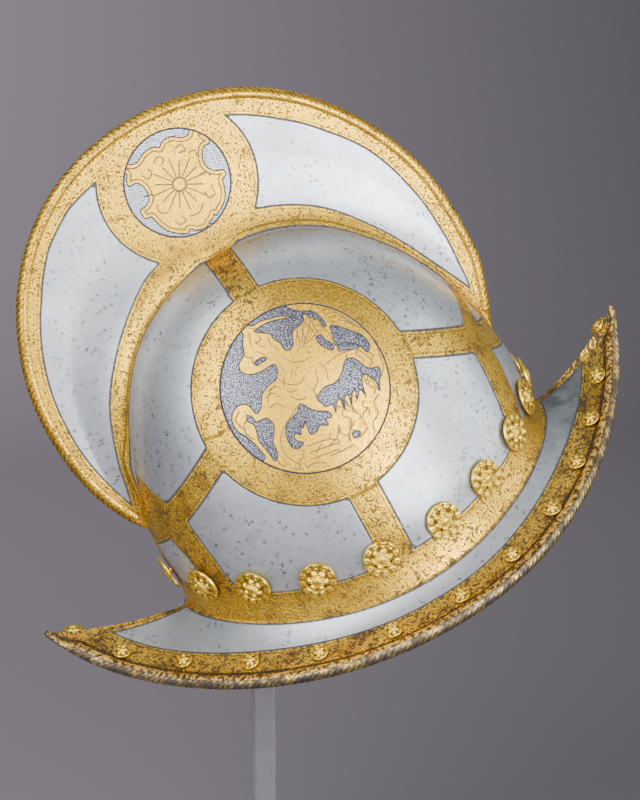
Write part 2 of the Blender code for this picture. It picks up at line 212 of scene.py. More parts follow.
def turn_at(share: np.ndarray, side: np.ndarray) -> np.ndarray:
    """Turn round the skull that meets the brim at this share of its length."""
    quarter = 0.5 * math.pi * (1.0 - np.minimum(1.0, np.abs(share))) ** 1.1
    return side * np.where(share >= 0.0, quarter, math.pi - quarter)


def brim_edge(share: np.ndarray, side: np.ndarray) -> np.ndarray:
    """Outer edge of the brim."""
    s = np.minimum(1.0, np.abs(share))
    rise = 0.549 * s ** 2 + 0.340 * s ** 6 + 0.111 * s ** 24
    reach = np.where(share >= 0.0, FRONT_REACH, REAR_REACH)
    return np.stack((share * reach, side * BRIM_HALF_WIDTH * (1.0 - s ** 2.2) ** 1.1,
                     -BRIM_DROP + (BRIM_DROP + TIP_RISE) * rise), axis=-1)


def unit(vectors: np.ndarray) -> np.ndarray:
    """The vectors at length one."""
    return vectors / np.maximum(np.linalg.norm(vectors, axis=-1, keepdims=True), 1e-12)


def brim_frame(share: np.ndarray, side: np.ndarray) -> tuple:
    """Roll centre, roll radius, outward direction and upward normal at the brim's edge."""
    edge = brim_edge(share, side)
    root = skull_point(turn_at(share, side), np.zeros_like(share))
    step = 0.004
    along = (brim_edge(share - step, side) - brim_edge(share + step, side)) * side[..., None]
    along[share > 0.999] = (0.0, 1.0, 0.0)
    along[share < -0.999] = (0.0, -1.0, 0.0)
    along = unit(along)
    out = edge - root
    out = unit(out - along * (out * along).sum(axis=-1, keepdims=True))
    up = np.cross(out, along)
    up *= np.sign(up[..., 2:3])
    radius = np.minimum(ROLL_RADIUS, 0.42 * np.abs(edge[..., 1]))
    radius = np.maximum(radius, TIP_ROLL_RADIUS)
    return edge - out * radius[..., None], radius, out, up


def brim_point(share: np.ndarray, side: np.ndarray, across: np.ndarray) -> np.ndarray:
    """Top of the brim, from the skull's base (0) to the roll (1)."""
    root = skull_point(turn_at(share, side), np.zeros_like(share))
    centre, radius, out, up = brim_frame(share, side)
    half = np.minimum(0.5 * WALL, 0.6 * radius)
    reach = np.sqrt(radius ** 2 - half ** 2)
    end = centre - out * reach[..., None] + up * half[..., None]
    point = root + (end - root) * across[..., None]
    point[..., 2] -= BRIM_SAG * 4.0 * across * (1.0 - across)
    return point


def run_along(path: np.ndarray) -> np.ndarray:
    """Length along a path up to each of its points."""
    return np.concatenate(((0.0,), np.cumsum(np.linalg.norm(np.diff(path, axis=0), axis=1))))


def loop_share(count: int) -> tuple:
    """Share of the half length and side for stations right round the brim."""
    angle = 2.0 * math.pi * np.arange(count) / count
    folded = np.minimum(angle, 2.0 * math.pi - angle)
    share = 0.5 * np.cos(folded) + 0.5 * (1.0 - 2.0 * folded / math.pi)
    return share, np.where(np.arange(count) <= count // 2, 1.0, -1.0)


def comb_edge(angle: np.ndarray) -> np.ndarray:
    """Distance of the comb's edge from the pivot, the outline's points joined smoothly."""
    table = np.array(COMB_OUTLINE)
    fine = np.linspace(table[0, 0], table[-1, 0], 400)
    reach = np.interp(fine, table[:, 0], table[:, 1])
    spread = np.exp(-np.linspace(-2.0, 2.0, 13) ** 2)
    before, after = 2.0 * reach[0] - reach[6:0:-1], 2.0 * reach[-1] - reach[-2:-8:-1]
    padded = np.concatenate((before, reach, after))
    smooth = np.convolve(padded, spread / spread.sum(), mode="valid")
    return COMB_REACH * np.interp(np.degrees(angle), fine, smooth)


def comb_frame(count: int) -> tuple:
    """Angles, heights over the skull and roll radii at stations along the comb."""
    angles = np.radians(np.linspace(COMB_OUTLINE[0][0], COMB_OUTLINE[-1][0], count + 1))
    tall = comb_edge(angles) - skull_reach(angles, 0.0 * angles)
    radius = 0.45 * np.maximum(tall, COMB_LEAST_RISE) + 0.5 * COMB_LEAST_RISE
    return angles, tall, np.minimum(COMB_ROLL_RADIUS, radius)


def comb_place(angle: np.ndarray, side: np.ndarray, height: np.ndarray) -> np.ndarray:
    """Points this high over the skull on the comb, this far to the side."""
    return comb_line(angle, side, skull_reach(angle, side) + height)


# Drawing: outlines, and signed distances to them


def smooth_outline(points: tuple, closed: bool, steps: int = 4) -> np.ndarray:
    """A curve through given points.

    Args:
        points: The points, each two lengths.
        closed: Whether the curve returns to its start.
        steps: Pieces between two points.

    Returns:
        The curve's points.
    """
    base = np.array(points, dtype=float)
    if closed:
        ring = np.concatenate((base[-1:], base, base[:2]))
    else:
        ring = np.concatenate((2.0 * base[:1] - base[1:2], base, 2.0 * base[-1:] - base[-2:-1]))
    share = (np.arange(steps) / steps)[:, None]
    parts = []
    for a, b, c, d in zip(ring, ring[1:], ring[2:], ring[3:]):
        parts.append(0.5 * (2.0 * b + (c - a) * share + (2.0 * a - 5.0 * b + 4.0 * c - d) * share ** 2
                            + (3.0 * b - a - 3.0 * c + d) * share ** 3))
    curve = np.concatenate(parts)
    return curve if closed else np.concatenate((curve, base[-1:]))


def path_distance(points: np.ndarray, path: np.ndarray) -> np.ndarray:
    """Distance of points from an open path."""
    best = np.full(len(points), np.inf)
    for a, b in zip(path, path[1:]):
        run = b - a
        share = np.clip(((points - a) @ run) / max(float(run @ run), 1e-12), 0.0, 1.0)
        gap = points - a - share[:, None] * run
        best = np.minimum(best, (gap ** 2).sum(axis=1))
    return np.sqrt(best)


def area_distance(points: np.ndarray, outline: np.ndarray) -> np.ndarray:
    """Signed distance of points from a closed outline, positive inside it."""
    loop = np.concatenate((outline, outline[:1]))
    inside = np.zeros(len(points), dtype=bool)
    for a, b in zip(loop, loop[1:]):
        crosses = (a[1] > points[:, 1]) != (b[1] > points[:, 1])
        if crosses.any():
            slope = (b[0] - a[0]) / (b[1] - a[1])
            inside ^= crosses & (points[:, 0] < a[0] + slope * (points[:, 1] - a[1]))
    return np.where(inside, 1.0, -1.0) * path_distance(points, loop)


# Mesh work through the operators


def let_go() -> None:
    """Leave nothing selected."""
    if bpy.context.object and bpy.context.object.mode != "OBJECT":
        bpy.ops.object.mode_set(mode="OBJECT")
    bpy.ops.object.select_all(action="DESELECT")


def take(obj: bpy.types.Object) -> None:
    """Select one object alone and make it the active one."""
    let_go()
    obj.select_set(True)
    bpy.context.view_layer.objects.active = obj


def points_of(obj: bpy.types.Object) -> np.ndarray:
    """An object's mesh points."""
    flat = np.empty(len(obj.data.vertices) * 3)
    obj.data.vertices.foreach_get("co", flat)
    return flat.reshape(-1, 3)


def place_points(obj: bpy.types.Object, points: np.ndarray) -> None:
    """Move an object's mesh points to these places."""
    obj.data.vertices.foreach_set("co", points.astype(np.float32).ravel())
    obj.data.update()


def to_world(points: np.ndarray) -> np.ndarray:
    """Points of the helmet's frame in the model's frame."""
    turn = np.array(TO_WORLD.to_3x3())
    return points @ turn.T + np.array(HELMET_AT)


def to_helmet(points: np.ndarray) -> np.ndarray:
    """Points of the model's frame in the helmet's frame."""
    return (points - np.array(HELMET_AT)) @ np.array(TO_WORLD.to_3x3())


def store(obj: bpy.types.Object, **marks: object) -> None:
    """Keep marks on the mesh for its finish to read.

    Args:
        obj: The piece.
        marks: By name, a number or a vector per point, or one number for all of them.
    """
    for name, values in marks.items():
        if np.ndim(values) == 0:
            values = np.full(len(obj.data.vertices), values)
        vector = values.ndim == 2
        kept = obj.data.attributes.new(name, "FLOAT_VECTOR" if vector else "FLOAT", "POINT")
        kept.data.foreach_set("vector" if vector else "value", values.astype(np.float32).ravel())


def flat_place(first: np.ndarray, second: np.ndarray) -> np.ndarray:
    """Flat coordinates for a pattern, from two lengths."""
    return np.stack((first, second, 0.0 * first), axis=1)


def new_grid(name: str, across: int, down: int) -> tuple:
    """A grid primitive and each of its points' column and row.

    Args:
        name: The piece's name.
        across: Cells across.
        down: Cells down.

    Returns:
        The object, and the columns and rows as whole numbers.
    """
    let_go()
    bpy.ops.mesh.primitive_grid_add(x_subdivisions=across, y_subdivisions=down, size=2.0)
    obj = bpy.context.object
    obj.name = obj.data.name = name
    shares = 0.5 * (points_of(obj) + 1.0)
    column, row = np.round(shares[:, 0] * across), np.round(shares[:, 1] * down)
    return obj, column.astype(int), row.astype(int)


def round_grid(name: str, cells: int, radius: float) -> tuple:
    """A grid to be laid out as a disc, and its points' places on the disc."""
    obj, column, row = new_grid(name, cells, cells)
    u, v = 2.0 * (column / cells) - 1.0, 2.0 * (row / cells) - 1.0
    round_u, round_v = u * np.sqrt(1.0 - 0.5 * v ** 2), v * np.sqrt(1.0 - 0.5 * u ** 2)
    return obj, radius * np.stack((round_u, round_v), axis=1)


def seal(obj: bpy.types.Object, crease: float, recalc: bool = True) -> None:
    """Close a mesh's seams, turn its faces outwards and shade it smooth.

    Args:
        obj: The piece.
        crease: Angle in degrees past which an edge stays sharp.
        recalc: Whether the faces' directions are worked out anew.
    """
    take(obj)
    bpy.ops.object.mode_set(mode="EDIT")
    bpy.ops.mesh.select_all(action="SELECT")
    bpy.ops.mesh.remove_doubles(threshold=WELD)
    bpy.ops.mesh.select_all(action="SELECT")
    bpy.ops.mesh.dissolve_degenerate(threshold=1e-7)
    if recalc:
        bpy.ops.mesh.select_all(action="SELECT")
        bpy.ops.mesh.normals_make_consistent(inside=False)
    bpy.ops.object.mode_set(mode="OBJECT")
    bpy.ops.object.shade_smooth_by_angle(angle=math.radians(crease))
    let_go()


def face_out(obj: bpy.types.Object, sample: int, outward: Vector) -> None:
    """Flip an open skin's faces if the one with this number looks the wrong way."""
    if obj.data.polygons[sample].normal.dot(outward) < 0.0:
        obj.data.flip_normals()


def thicken(obj: bpy.types.Object, wall: float) -> None:
    """Give a patch a wall behind its face."""
    take(obj)
    solid = obj.modifiers.new("wall", "SOLIDIFY")
    solid.thickness = wall
    solid.offset = -1.0
    bpy.ops.object.modifier_apply(modifier=solid.name)
    let_go()


def hand_over(obj: bpy.types.Object, slot: str, finish: bpy.types.Material, *nodes: str) -> None:
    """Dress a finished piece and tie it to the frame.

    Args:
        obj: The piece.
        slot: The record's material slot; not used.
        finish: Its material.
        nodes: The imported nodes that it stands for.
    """
    obj.data.materials.clear()
    obj.data.materials.append(finish)
    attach(obj, "root")
    if nodes:
        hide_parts(*nodes)
    obj.data.calc_loop_triangles()
    LOG.info("%s: %d triangles", obj.name, len(obj.data.loop_triangles))


# Finishes


class Signal:
    """A number carried between nodes. Arithmetic on it lays out Math nodes."""

    def __init__(self, shade: "Shade", socket: bpy.types.NodeSocket) -> None:
        """Hold one node's output."""
        self.shade = shade
        self.socket = socket

    def __add__(self, other: object) -> "Signal":
        """This plus another signal or a plain number."""
        return self.shade.math("ADD", self, other)

    def __sub__(self, other: object) -> "Signal":
        """This less another signal or a plain number."""
        return self.shade.math("SUBTRACT", self, other)

    def __rsub__(self, other: float) -> "Signal":
        """A plain number less this."""
        return self.shade.math("SUBTRACT", other, self)

    def __mul__(self, other: object) -> "Signal":
        """This times another signal or a plain number."""
        return self.shade.math("MULTIPLY", self, other)

    def __truediv__(self, other: float) -> "Signal":
        """This over a plain number."""
        return self.shade.math("DIVIDE", self, other)

    def __abs__(self) -> "Signal":
        """This without its sign."""
        return self.shade.math("ABSOLUTE", self)

    def over(self, other: "Signal") -> "Signal":
        """The greater of this and another."""
        return self.shade.math("MAXIMUM", self, other)

    def clamped(self) -> "Signal":
        """This, held between 0 and 1 by the Math node that makes it."""
        self.socket.node.use_clamp = True
        return self

    def ease(self, start: float, end: float, low: float = 0.0, high: float = 1.0) -> "Signal":
        """A smooth step from low to high as this goes from start to end."""
        step = self.shade.node("MapRange", self, start, end, low, high,
                               interpolation_type="SMOOTHSTEP")
        return Signal(self.shade, step.outputs[0])


class Shade:
    """Lays out one material's nodes."""

    def __init__(self, name: str) -> None:
        """Start a material with its own Principled shader."""
        self.material = bpy.data.materials.new(name)
        self.material.use_nodes = True
        self.tree = self.material.node_tree
        self.shader = self.tree.nodes["Principled BSDF"]

    def feed(self, socket: bpy.types.NodeSocket, value: object) -> None:
        """Link a socket to a signal or another socket, or set it to a plain value."""
        if isinstance(value, Signal):
            value = value.socket
        if isinstance(value, bpy.types.NodeSocket):
            self.tree.links.new(value, socket)
        else:
            socket.default_value = value

    def node(self, kind: str, *values: object, **options: object) -> bpy.types.Node:
        """One node, with its options set and its first inputs fed in order."""
        made = self.tree.nodes.new(f"ShaderNode{kind}")
        for option, choice in options.items():
            setattr(made, option, choice)
        for socket, value in zip(made.inputs, values):
            self.feed(socket, value)
        return made

    def surface(self, **values: object) -> None:
        """Set the shader's inputs by name, with _ for a space."""
        for name, value in values.items():
            self.feed(self.shader.inputs[name.replace("_", " ")], value)

    def math(self, operation: str, *values: object) -> Signal:
        """One Math node's result."""
        return Signal(self, self.node("Math", *values, operation=operation).outputs[0])

    def place(self) -> bpy.types.NodeSocket:
        """The surface point in object coordinates."""
        return self.node("TexCoord").outputs["Object"]

    def kept(self, name: str) -> Signal:
        """A number kept on the mesh."""
        return Signal(self, self.node("Attribute", attribute_name=name).outputs["Fac"])

    def kept_vector(self, name: str) -> bpy.types.NodeSocket:
        """A vector kept on the mesh."""
        return self.node("Attribute", attribute_name=name).outputs["Vector"]

    def parts(self, socket: bpy.types.NodeSocket) -> list:
        """The three numbers of a colour or a vector."""
        kind = "SeparateColor" if socket.type == "RGBA" else "SeparateXYZ"
        return [Signal(self, number) for number in self.node(kind, socket).outputs]

    def noise_node(self, at: object, scale: float, detail: float, rough: float) -> bpy.types.Node:
        """A Noise node."""
        made = self.node("TexNoise", at)
        for name, number in (("Scale", scale), ("Detail", detail), ("Roughness", rough)):
            made.inputs[name].default_value = number
        return made

    def noise(self, at: object, scale: float, detail: float = 3.0, rough: float = 0.6) -> Signal:
        """Soft noise from 0 to 1."""
        return Signal(self, self.noise_node(at, scale, detail, rough).outputs["Fac"])

    def cells(self, at: object, scale: float, flat: bool = False, loose: float = 1.0) -> tuple:
        """Scattered cells, a Voronoi pattern.

        Args:
            at: Where it is read.
            scale: Cells to the unit.
            flat: Whether it reads two lengths only.
            loose: How far the cells stray from a grid.

        Returns:
            Distance from the cell's middle, the cell's random colour and its middle.
        """
        made = self.node("TexVoronoi", at, voronoi_dimensions="2D" if flat else "3D")
        made.inputs["Scale"].default_value = scale
        made.inputs["Randomness"].default_value = loose
        return Signal(self, made.outputs["Distance"]), made.outputs["Color"], made.outputs["Position"]

    def strayed(self, at: object, scale: float, reach: float) -> bpy.types.NodeSocket:
        """The place moved by small wandering shifts, which makes round marks ragged."""
        stray = self.noise_node(at, scale, 2.0, 0.5).outputs["Color"]
        middle = self.node("VectorMath", stray, (0.5, 0.5, 0.5), operation="SUBTRACT").outputs[0]
        shift = self.node("VectorMath", middle, operation="SCALE")
        shift.inputs["Scale"].default_value = reach
        return self.node("VectorMath", at, shift.outputs[0], operation="ADD").outputs[0]

    def mix(self, share: object, first: object, second: object) -> bpy.types.NodeSocket:
        """A colour between two others."""
        made = self.node("Mix", data_type="RGBA")
        for number, value in ((0, share), (6, first), (7, second)):
            self.feed(made.inputs[number], (*value, 1.0) if isinstance(value, tuple) else value)
        return made.outputs[2]

    def relief(self, height: Signal, depth: float, strength: float) -> None:
        """Bump the surface by a height from 0 to 1, this deep."""
        made = self.node("Bump")
        for name, value in (("Strength", strength), ("Distance", depth), ("Height", height)):
            self.feed(made.inputs[name], value)
        self.feed(self.shader.inputs["Normal"], made.outputs["Normal"])


@dataclass(frozen=True)
class SteelTone:
    """Colours of the bare polished and pitted steel, and of a painted dark reflection on it."""

    pale: tuple = (0.62, 0.655, 0.69)
    dull: tuple = (0.43, 0.46, 0.495)
    etch: tuple = (0.14, 0.145, 0.16)
    pit: tuple = (0.045, 0.045, 0.06)
    # Colour of the painted dark reflection near the brim's front tip
    painted_reflection: tuple = (0.042, 0.056, 0.064)
    polish: float = 0.29


@dataclass(frozen=True)
class GoldTone:
    """Colours of the worn fire gilding."""

    bright: tuple = (1.0, 0.655, 0.062)
    plain: tuple = (0.95, 0.54, 0.036)
    brown: tuple = (0.24, 0.110, 0.022)
    black: tuple = (0.022, 0.015, 0.013)


@dataclass(frozen=True)
class Etching:
    """What an etched finish reads at a point: its places, its gilt distance and shared noises."""

    at: bpy.types.NodeSocket
    flat: bpy.types.NodeSocket
    gilt: Signal
    # Marked recesses, and the painted dark reflection near the brim's tip
    recess: Signal
    cloud: Signal
    patch: Signal
    fine: Signal

    @classmethod
    def read(cls, shade: Shade) -> "Etching":
        """Lay out the shared inputs of one material."""
        at = shade.place()
        return cls(at=at, flat=shade.kept_vector("flat"), gilt=shade.kept("gilt"),
                   recess=shade.kept("recess"), cloud=shade.noise(at, 95.0, 4.0, 0.62),
                   patch=shade.noise(at, 26.0), fine=shade.noise(at, 720.0, 3.0, 0.65))


@dataclass(frozen=True)
class EtchedGilt:
    """Steel with etched and gilt bands: scrolls on a grained ground, dark contour lines."""

    steel: SteelTone = SteelTone()
    gold: GoldTone = GoldTone()
    scroll: float = 7.2
    vine: float = 2.35
    grain: float = 1.25
    contour: float = 0.78
    figured: bool = False
    hatched: bool = False

    def scrolls(self, shade: Shade, flat: bpy.types.NodeSocket) -> tuple:
        """Scrolling vines, a spiral in each cell that winds either way.

        Args:
            shade: The material that is laid out.
            flat: Where the pattern is read, in millimetres along the surface.

        Returns:
            The vines' height and the dark line along their edges.
        """
        at = shade.strayed(flat, 0.16, 4.2)
        _, chance, middle = shade.cells(at, 1.0 / self.scroll, flat=True, loose=0.62)
        arm = shade.node("VectorMath", at, middle, operation="SUBTRACT").outputs[0]
        x, y, _ = shade.parts(arm)
        pick, start, _ = shade.parts(chance)
        sweep = shade.math("ARCTAN2", y, x) / (2.0 * math.pi) * shade.math("SIGN", pick - 0.5)
        reach = Signal(shade, shade.node("VectorMath", arm, operation="LENGTH").outputs["Value"])
        wave = abs(shade.math("FRACT", reach / self.vine - sweep + start) - 0.5)
        return wave.ease(0.27, 0.19), abs(wave - 0.27).ease(0.085, 0.035)

    def gilding(self, shade: Shade, here: Etching, vines: Signal, edging: Signal) -> tuple:
        """The gold's colour, worn and blackened in its hollows, with a painted dark reflection near the
        brim's tip.

        Args:
            shade: The material that is laid out.
            here: The finish's shared inputs.
            vines: The scrolls' height.
            edging: The dark line along their edges.

        Returns:
            The colour and its black specks.
        """
        tone, fine, gilt, worn = self.gold, here.fine, here.gilt, shade.kept("worn")
        gold = shade.mix(vines * fine.ease(0.30, 0.62, 0.35, 0.85), tone.plain, tone.bright)
        gold = shade.mix(edging * fine.ease(0.36, 0.50, 0.25, 1.0), gold, tone.brown)
        gold = shade.mix(gilt.ease(1.75, 1.45) * 0.8, gold, tone.bright)
        inline = abs(gilt - 1.85).ease(0.32, 0.14)
        gold = shade.mix(inline * fine.ease(0.34, 0.52, 0.3, 0.9), gold, tone.brown)
        rubbed = here.cloud.ease(0.47, 0.68) * (worn + 0.25)
        gold = shade.mix((rubbed * 0.75).clamped(), gold, tone.brown)

        dots, chance, _ = shade.cells(here.flat, 1.0 / self.grain, flat=True)
        rate = worn * 0.75 + here.patch.ease(0.38, 0.62, -0.10, 0.30)
        speck = (shade.parts(chance)[2] - (rate + 0.10)).ease(0.04, -0.04)
        speck = (speck * dots.ease(0.50, 0.24) * (1.0 - vines * 0.72)).clamped()
        clump = shade.noise(here.at, 340.0, 4.0, 0.6) - vines * worn * 0.10
        dark = (clump + (worn * 0.21 + here.cloud * 0.20)).ease(0.735, 0.79)
        speck = speck.over(dark * worn.ease(0.0, 0.7, 0.45, 1.0))
        gold = shade.mix((speck * 0.88).clamped(), gold, tone.black)
        # Blackened in the hollows, and painted dark reflection near the brim's tip
        gold = shade.mix(here.recess * fine.ease(0.30, 0.50, 0.55, 0.92), gold, tone.black)
        return gold, speck * gilt.ease(0.0, 0.3)

    def bare_steel(self, shade: Shade, here: Etching, haze: Signal) -> bpy.types.NodeSocket:
        """The steel's colour, with stains, bitten patches, pits and a painted dark reflection near the
        brim's tip.
        """
        tone = self.steel
        steel = shade.mix(haze.ease(0.36, 0.64), tone.pale, tone.dull)
        steel = shade.mix(here.cloud.ease(0.52, 0.72) * 0.45, steel, tone.dull)
        bitten = shade.noise(here.at, 340.0, 4.0, 0.7).ease(0.56, 0.66)
        steel = shade.mix(bitten * here.patch.ease(0.40, 0.60, 0.25, 0.85), steel, tone.etch)
        hollow, chance, _ = shade.cells(shade.strayed(here.at, 900.0, 0.004), 300.0)
        luck = shade.parts(chance)[0] + here.patch * 1.1
        pit = hollow.ease(0.34, 0.14) * luck.ease(1.29, 1.42)
        steel = shade.mix(pit * 0.8, steel, tone.pit)
        # Painted dark reflection, where the brim's marks call for it
        return shade.mix(here.recess * here.cloud.ease(0.30, 0.62, 1.0, 0.80), steel, tone.painted_reflection)

    def material(self, name: str) -> bpy.types.Material:
        """The finish as a material.

        Args:
            name: The material's name.

        Returns:
            The material.
        """
        shade = Shade(name)
        here = Etching.read(shade)
        gilt, fine = here.gilt, here.fine
        haze = shade.noise(here.at, 11.0, 4.0, 0.6)
        vines, edging = self.scrolls(shade, here.flat)
        gold, speck = self.gilding(shade, here, vines, edging)
        colour = shade.mix(gilt.ease(-0.10, 0.10), self.bare_steel(shade, here, haze), gold)
        contour = abs(gilt).ease(self.contour, 0.45 * self.contour)
        contour = contour * fine.ease(0.28, 0.46, 0.55, 0.95)
        if self.figured:
            colour, contour = self.dress_figure(shade, here, colour, contour)
        dark = speck.over(contour)
        shade.surface(Base_Color=shade.mix(contour, colour, self.steel.pit),
                      Metallic=gilt.ease(-0.2, 0.2, 0.84, 0.97) - dark * 0.55,
                      Roughness=haze * 0.14 + self.steel.polish + dark * 0.25)
        raised = (vines * 0.6 + speck * -0.5) * gilt.ease(0.0, 0.3) - contour * 0.8
        shade.relief(raised + fine * gilt.ease(-0.2, 0.3, 0.02, 0.12), 0.00014, 0.8)
        return shade.material

    def dress_figure(self, shade: Shade, here: Etching, colour: object, contour: Signal) -> tuple:
        """Add the drawn field: gold figure, grey ground and engraved lines.

        Args:
            shade: The material that is laid out.
            here: The finish's shared inputs.
            colour: The colour outside the field.
            contour: The dark lines outside the field.

        Returns:
            The colour and the dark lines with the field's own.
        """
        figure, line, within = shade.kept("figure"), shade.kept("engraved"), shade.kept("field")
        sheet = shade.mix(here.fine.ease(0.40, 0.70, 0.0, 0.6), self.gold.plain, self.gold.bright)
        if self.hatched:
            ground = self.hatching(shade, here.flat)
            sheet = shade.mix(self.scrolls(shade, here.flat)[1] * 0.42, sheet, self.gold.brown)
        else:
            stipple = shade.cells(here.flat, 1.15, flat=True)[0]
            ground = shade.mix(stipple.ease(0.24, 0.60), (0.045, 0.044, 0.06), (0.33, 0.33, 0.385))
        spot, chance, _ = shade.cells(here.flat, 0.42, flat=True)
        spotted = spot.ease(0.25, 0.08) * shade.parts(chance)[1].ease(0.70, 0.85)
        sheet = shade.mix(spotted * 0.55, sheet, self.gold.brown)
        drawn = shade.mix(figure.ease(-0.12, 0.12), ground, sheet)
        colour = shade.mix(within.ease(-0.10, 0.10), colour, drawn)
        marks = abs(figure).ease(0.46, 0.20).over(line.ease(0.50, 0.20) * 0.82)
        rim = abs(within).ease(0.66, 0.34)
        return colour, contour.over(rim.over(marks * within.ease(0.0, 0.2)))

    def hatching(self, shade: Shade, flat: bpy.types.NodeSocket) -> bpy.types.NodeSocket:
        """Fine slanting lines over pale steel."""
        x, y, _ = shade.parts(flat)
        wave = abs(shade.math("FRACT", (x * 0.42 + y) * 0.80) - 0.5)
        return shade.mix(wave.ease(0.18, 0.34), (0.56, 0.58, 0.62), (0.17, 0.17, 0.20))


@dataclass(frozen=True)
class RopedGilt:
    """Twisted rim: worn gold on the crowns of the strands, dark in the grooves."""

    gold: GoldTone = GoldTone(bright=(0.96, 0.69, 0.22), plain=(0.80, 0.51, 0.11),
                              brown=(0.15, 0.080, 0.026))
    bare: tuple = (0.20, 0.19, 0.19)
    soot: tuple = (0.055, 0.045, 0.042)

    def material(self, name: str) -> bpy.types.Material:
        """The finish as a material."""
        shade = Shade(name)
        at, groove, inner = shade.place(), shade.kept("groove"), shade.kept("inner")
        cloud, fine = shade.noise(at, 110.0, 4.0, 0.65), shade.noise(at, 640.0)
        gold = shade.mix(fine.ease(0.35, 0.65), self.gold.plain, self.gold.bright)
        gold = shade.mix(shade.noise(at, 240.0).ease(0.44, 0.56, 0.0, 0.75), gold, self.bare)
        gold = shade.mix(groove.ease(0.35, 0.85), gold, self.gold.brown)
        black = (cloud + fine * 0.34).ease(0.554, 0.734)
        black = (black * 0.90).over(groove.ease(0.55, 0.95))
        colour = shade.mix(black, gold, self.soot)
        patches = shade.noise(at, 420.0, 4.0, 0.6).ease(0.47, 0.55)
        band = shade.mix(patches, self.gold.plain, self.gold.brown)
        colour = shade.mix(inner.ease(0.35, 0.65), colour, band)
        fold = abs(inner - 0.5).ease(0.42, 0.16)
        shade.surface(Base_Color=shade.mix(fold * 0.55, colour, self.gold.black),
                      Metallic=1.0 - black * 0.35, Roughness=black * 0.16 + 0.36)
        shade.relief(fine, 0.0001, 0.6)
        return shade.material


@dataclass(frozen=True)
class CastBrass:
    """Gilt cast rosettes: bright crowns, with painted shade brown in the hollows."""

    bright: tuple = (0.98, 0.685, 0.095)
    plain: tuple = (0.85, 0.565, 0.060)
    # Colour of the painted shade in the hollows
    hollow: tuple = (0.085, 0.050, 0.012)

    def material(self, name: str) -> bpy.types.Material:
        """The finish as a material."""
        shade = Shade(name)
        at = shade.place()
        fine = shade.noise(at, 900.0)
        colour = shade.mix(shade.noise(at, 160.0).ease(0.35, 0.65), self.plain, self.bright)
        # Painted shade: the lower the face, the darker brown it is painted, and the rougher it is
        sunk = (shade.kept("raised") + fine * 0.25).ease(0.60, 0.26)
        shade.surface(Base_Color=shade.mix(sunk * 0.93, colour, self.hollow), Metallic=1.0,
                      Roughness=sunk * 0.20 + 0.38)
        shade.relief(fine, 0.00012, 0.5)
        return shade.material


@dataclass(frozen=True)
class InsideSteel:
    """The darker hammered inside."""

    grey: tuple = (0.26, 0.26, 0.27)
    brown: tuple = (0.10, 0.085, 0.075)

    def material(self, name: str) -> bpy.types.Material:
        """The finish as a material."""
        shade = Shade(name)
        at = shade.place()
        cloud = shade.noise(at, 38.0, 5.0, 0.62)
        hammer = shade.cells(at, 90.0)[0]
        shade.surface(Base_Color=shade.mix(cloud.ease(0.35, 0.68), self.grey, self.brown),
                      Metallic=0.9, Roughness=cloud * 0.2 + 0.42)
        shade.relief(hammer + cloud * 0.6, 0.0005, 0.5)
        return shade.material


@dataclass(frozen=True)
class ClearAcrylic:
    """Clear polished acrylic with faint handling haze."""

    clear: tuple = (0.40, 0.385, 0.41)
    hazed: tuple = (0.48, 0.465, 0.49)

    def material(self, name: str) -> bpy.types.Material:
        """The finish as a material."""
        shade = Shade(name)
        haze = shade.noise(shade.place(), 60.0)
        shade.surface(Base_Color=shade.mix(haze.ease(0.3, 0.7), self.clear, self.hazed),
                      Metallic=0.0, IOR=1.49, Transmission_Weight=0.80,
                      Roughness=haze.ease(0.40, 0.8, 0.16, 0.30))
        return shade.material


@dataclass(frozen=True)
class StudioPaper:
    """Matt paper sweep, pale under the stand and greyer up the back, with painted light: lighter to the
    left, painted shade darker to the right.
    """

    # Painted light and shade of the sweep: lit on the left, painted shade on the right, the near floor
    # between
    near: tuple = (0.203, 0.180, 0.203)
    left: tuple = (0.268, 0.229, 0.264)
    right: tuple = (0.070, 0.064, 0.075)
    fibre: tuple = (0.5, 0.5, 0.5)

    def material(self, name: str) -> bpy.types.Material:
        """The finish as a material."""
        shade = Shade(name)
        at = shade.place()
        x, y, _ = shade.parts(at)
        fibre = shade.noise(at, 220.0)
        # Painted light falling off from the left to the right, on the back and on the floor
        back = shade.mix(x.ease(-0.35, 1.25), self.left, self.right)
        front = shade.mix(x.ease(-0.45, 0.55), self.near, self.right)
        colour = shade.mix(y.ease(-0.10, 1.60), front, back)
        shade.surface(Base_Color=shade.mix(fibre * 0.04, colour, self.fibre), Roughness=0.9)
        shade.relief(fibre, 0.0003, 0.1)
        return shade.material


# Layout of the etched design, in millimetres of the helmet's own frame


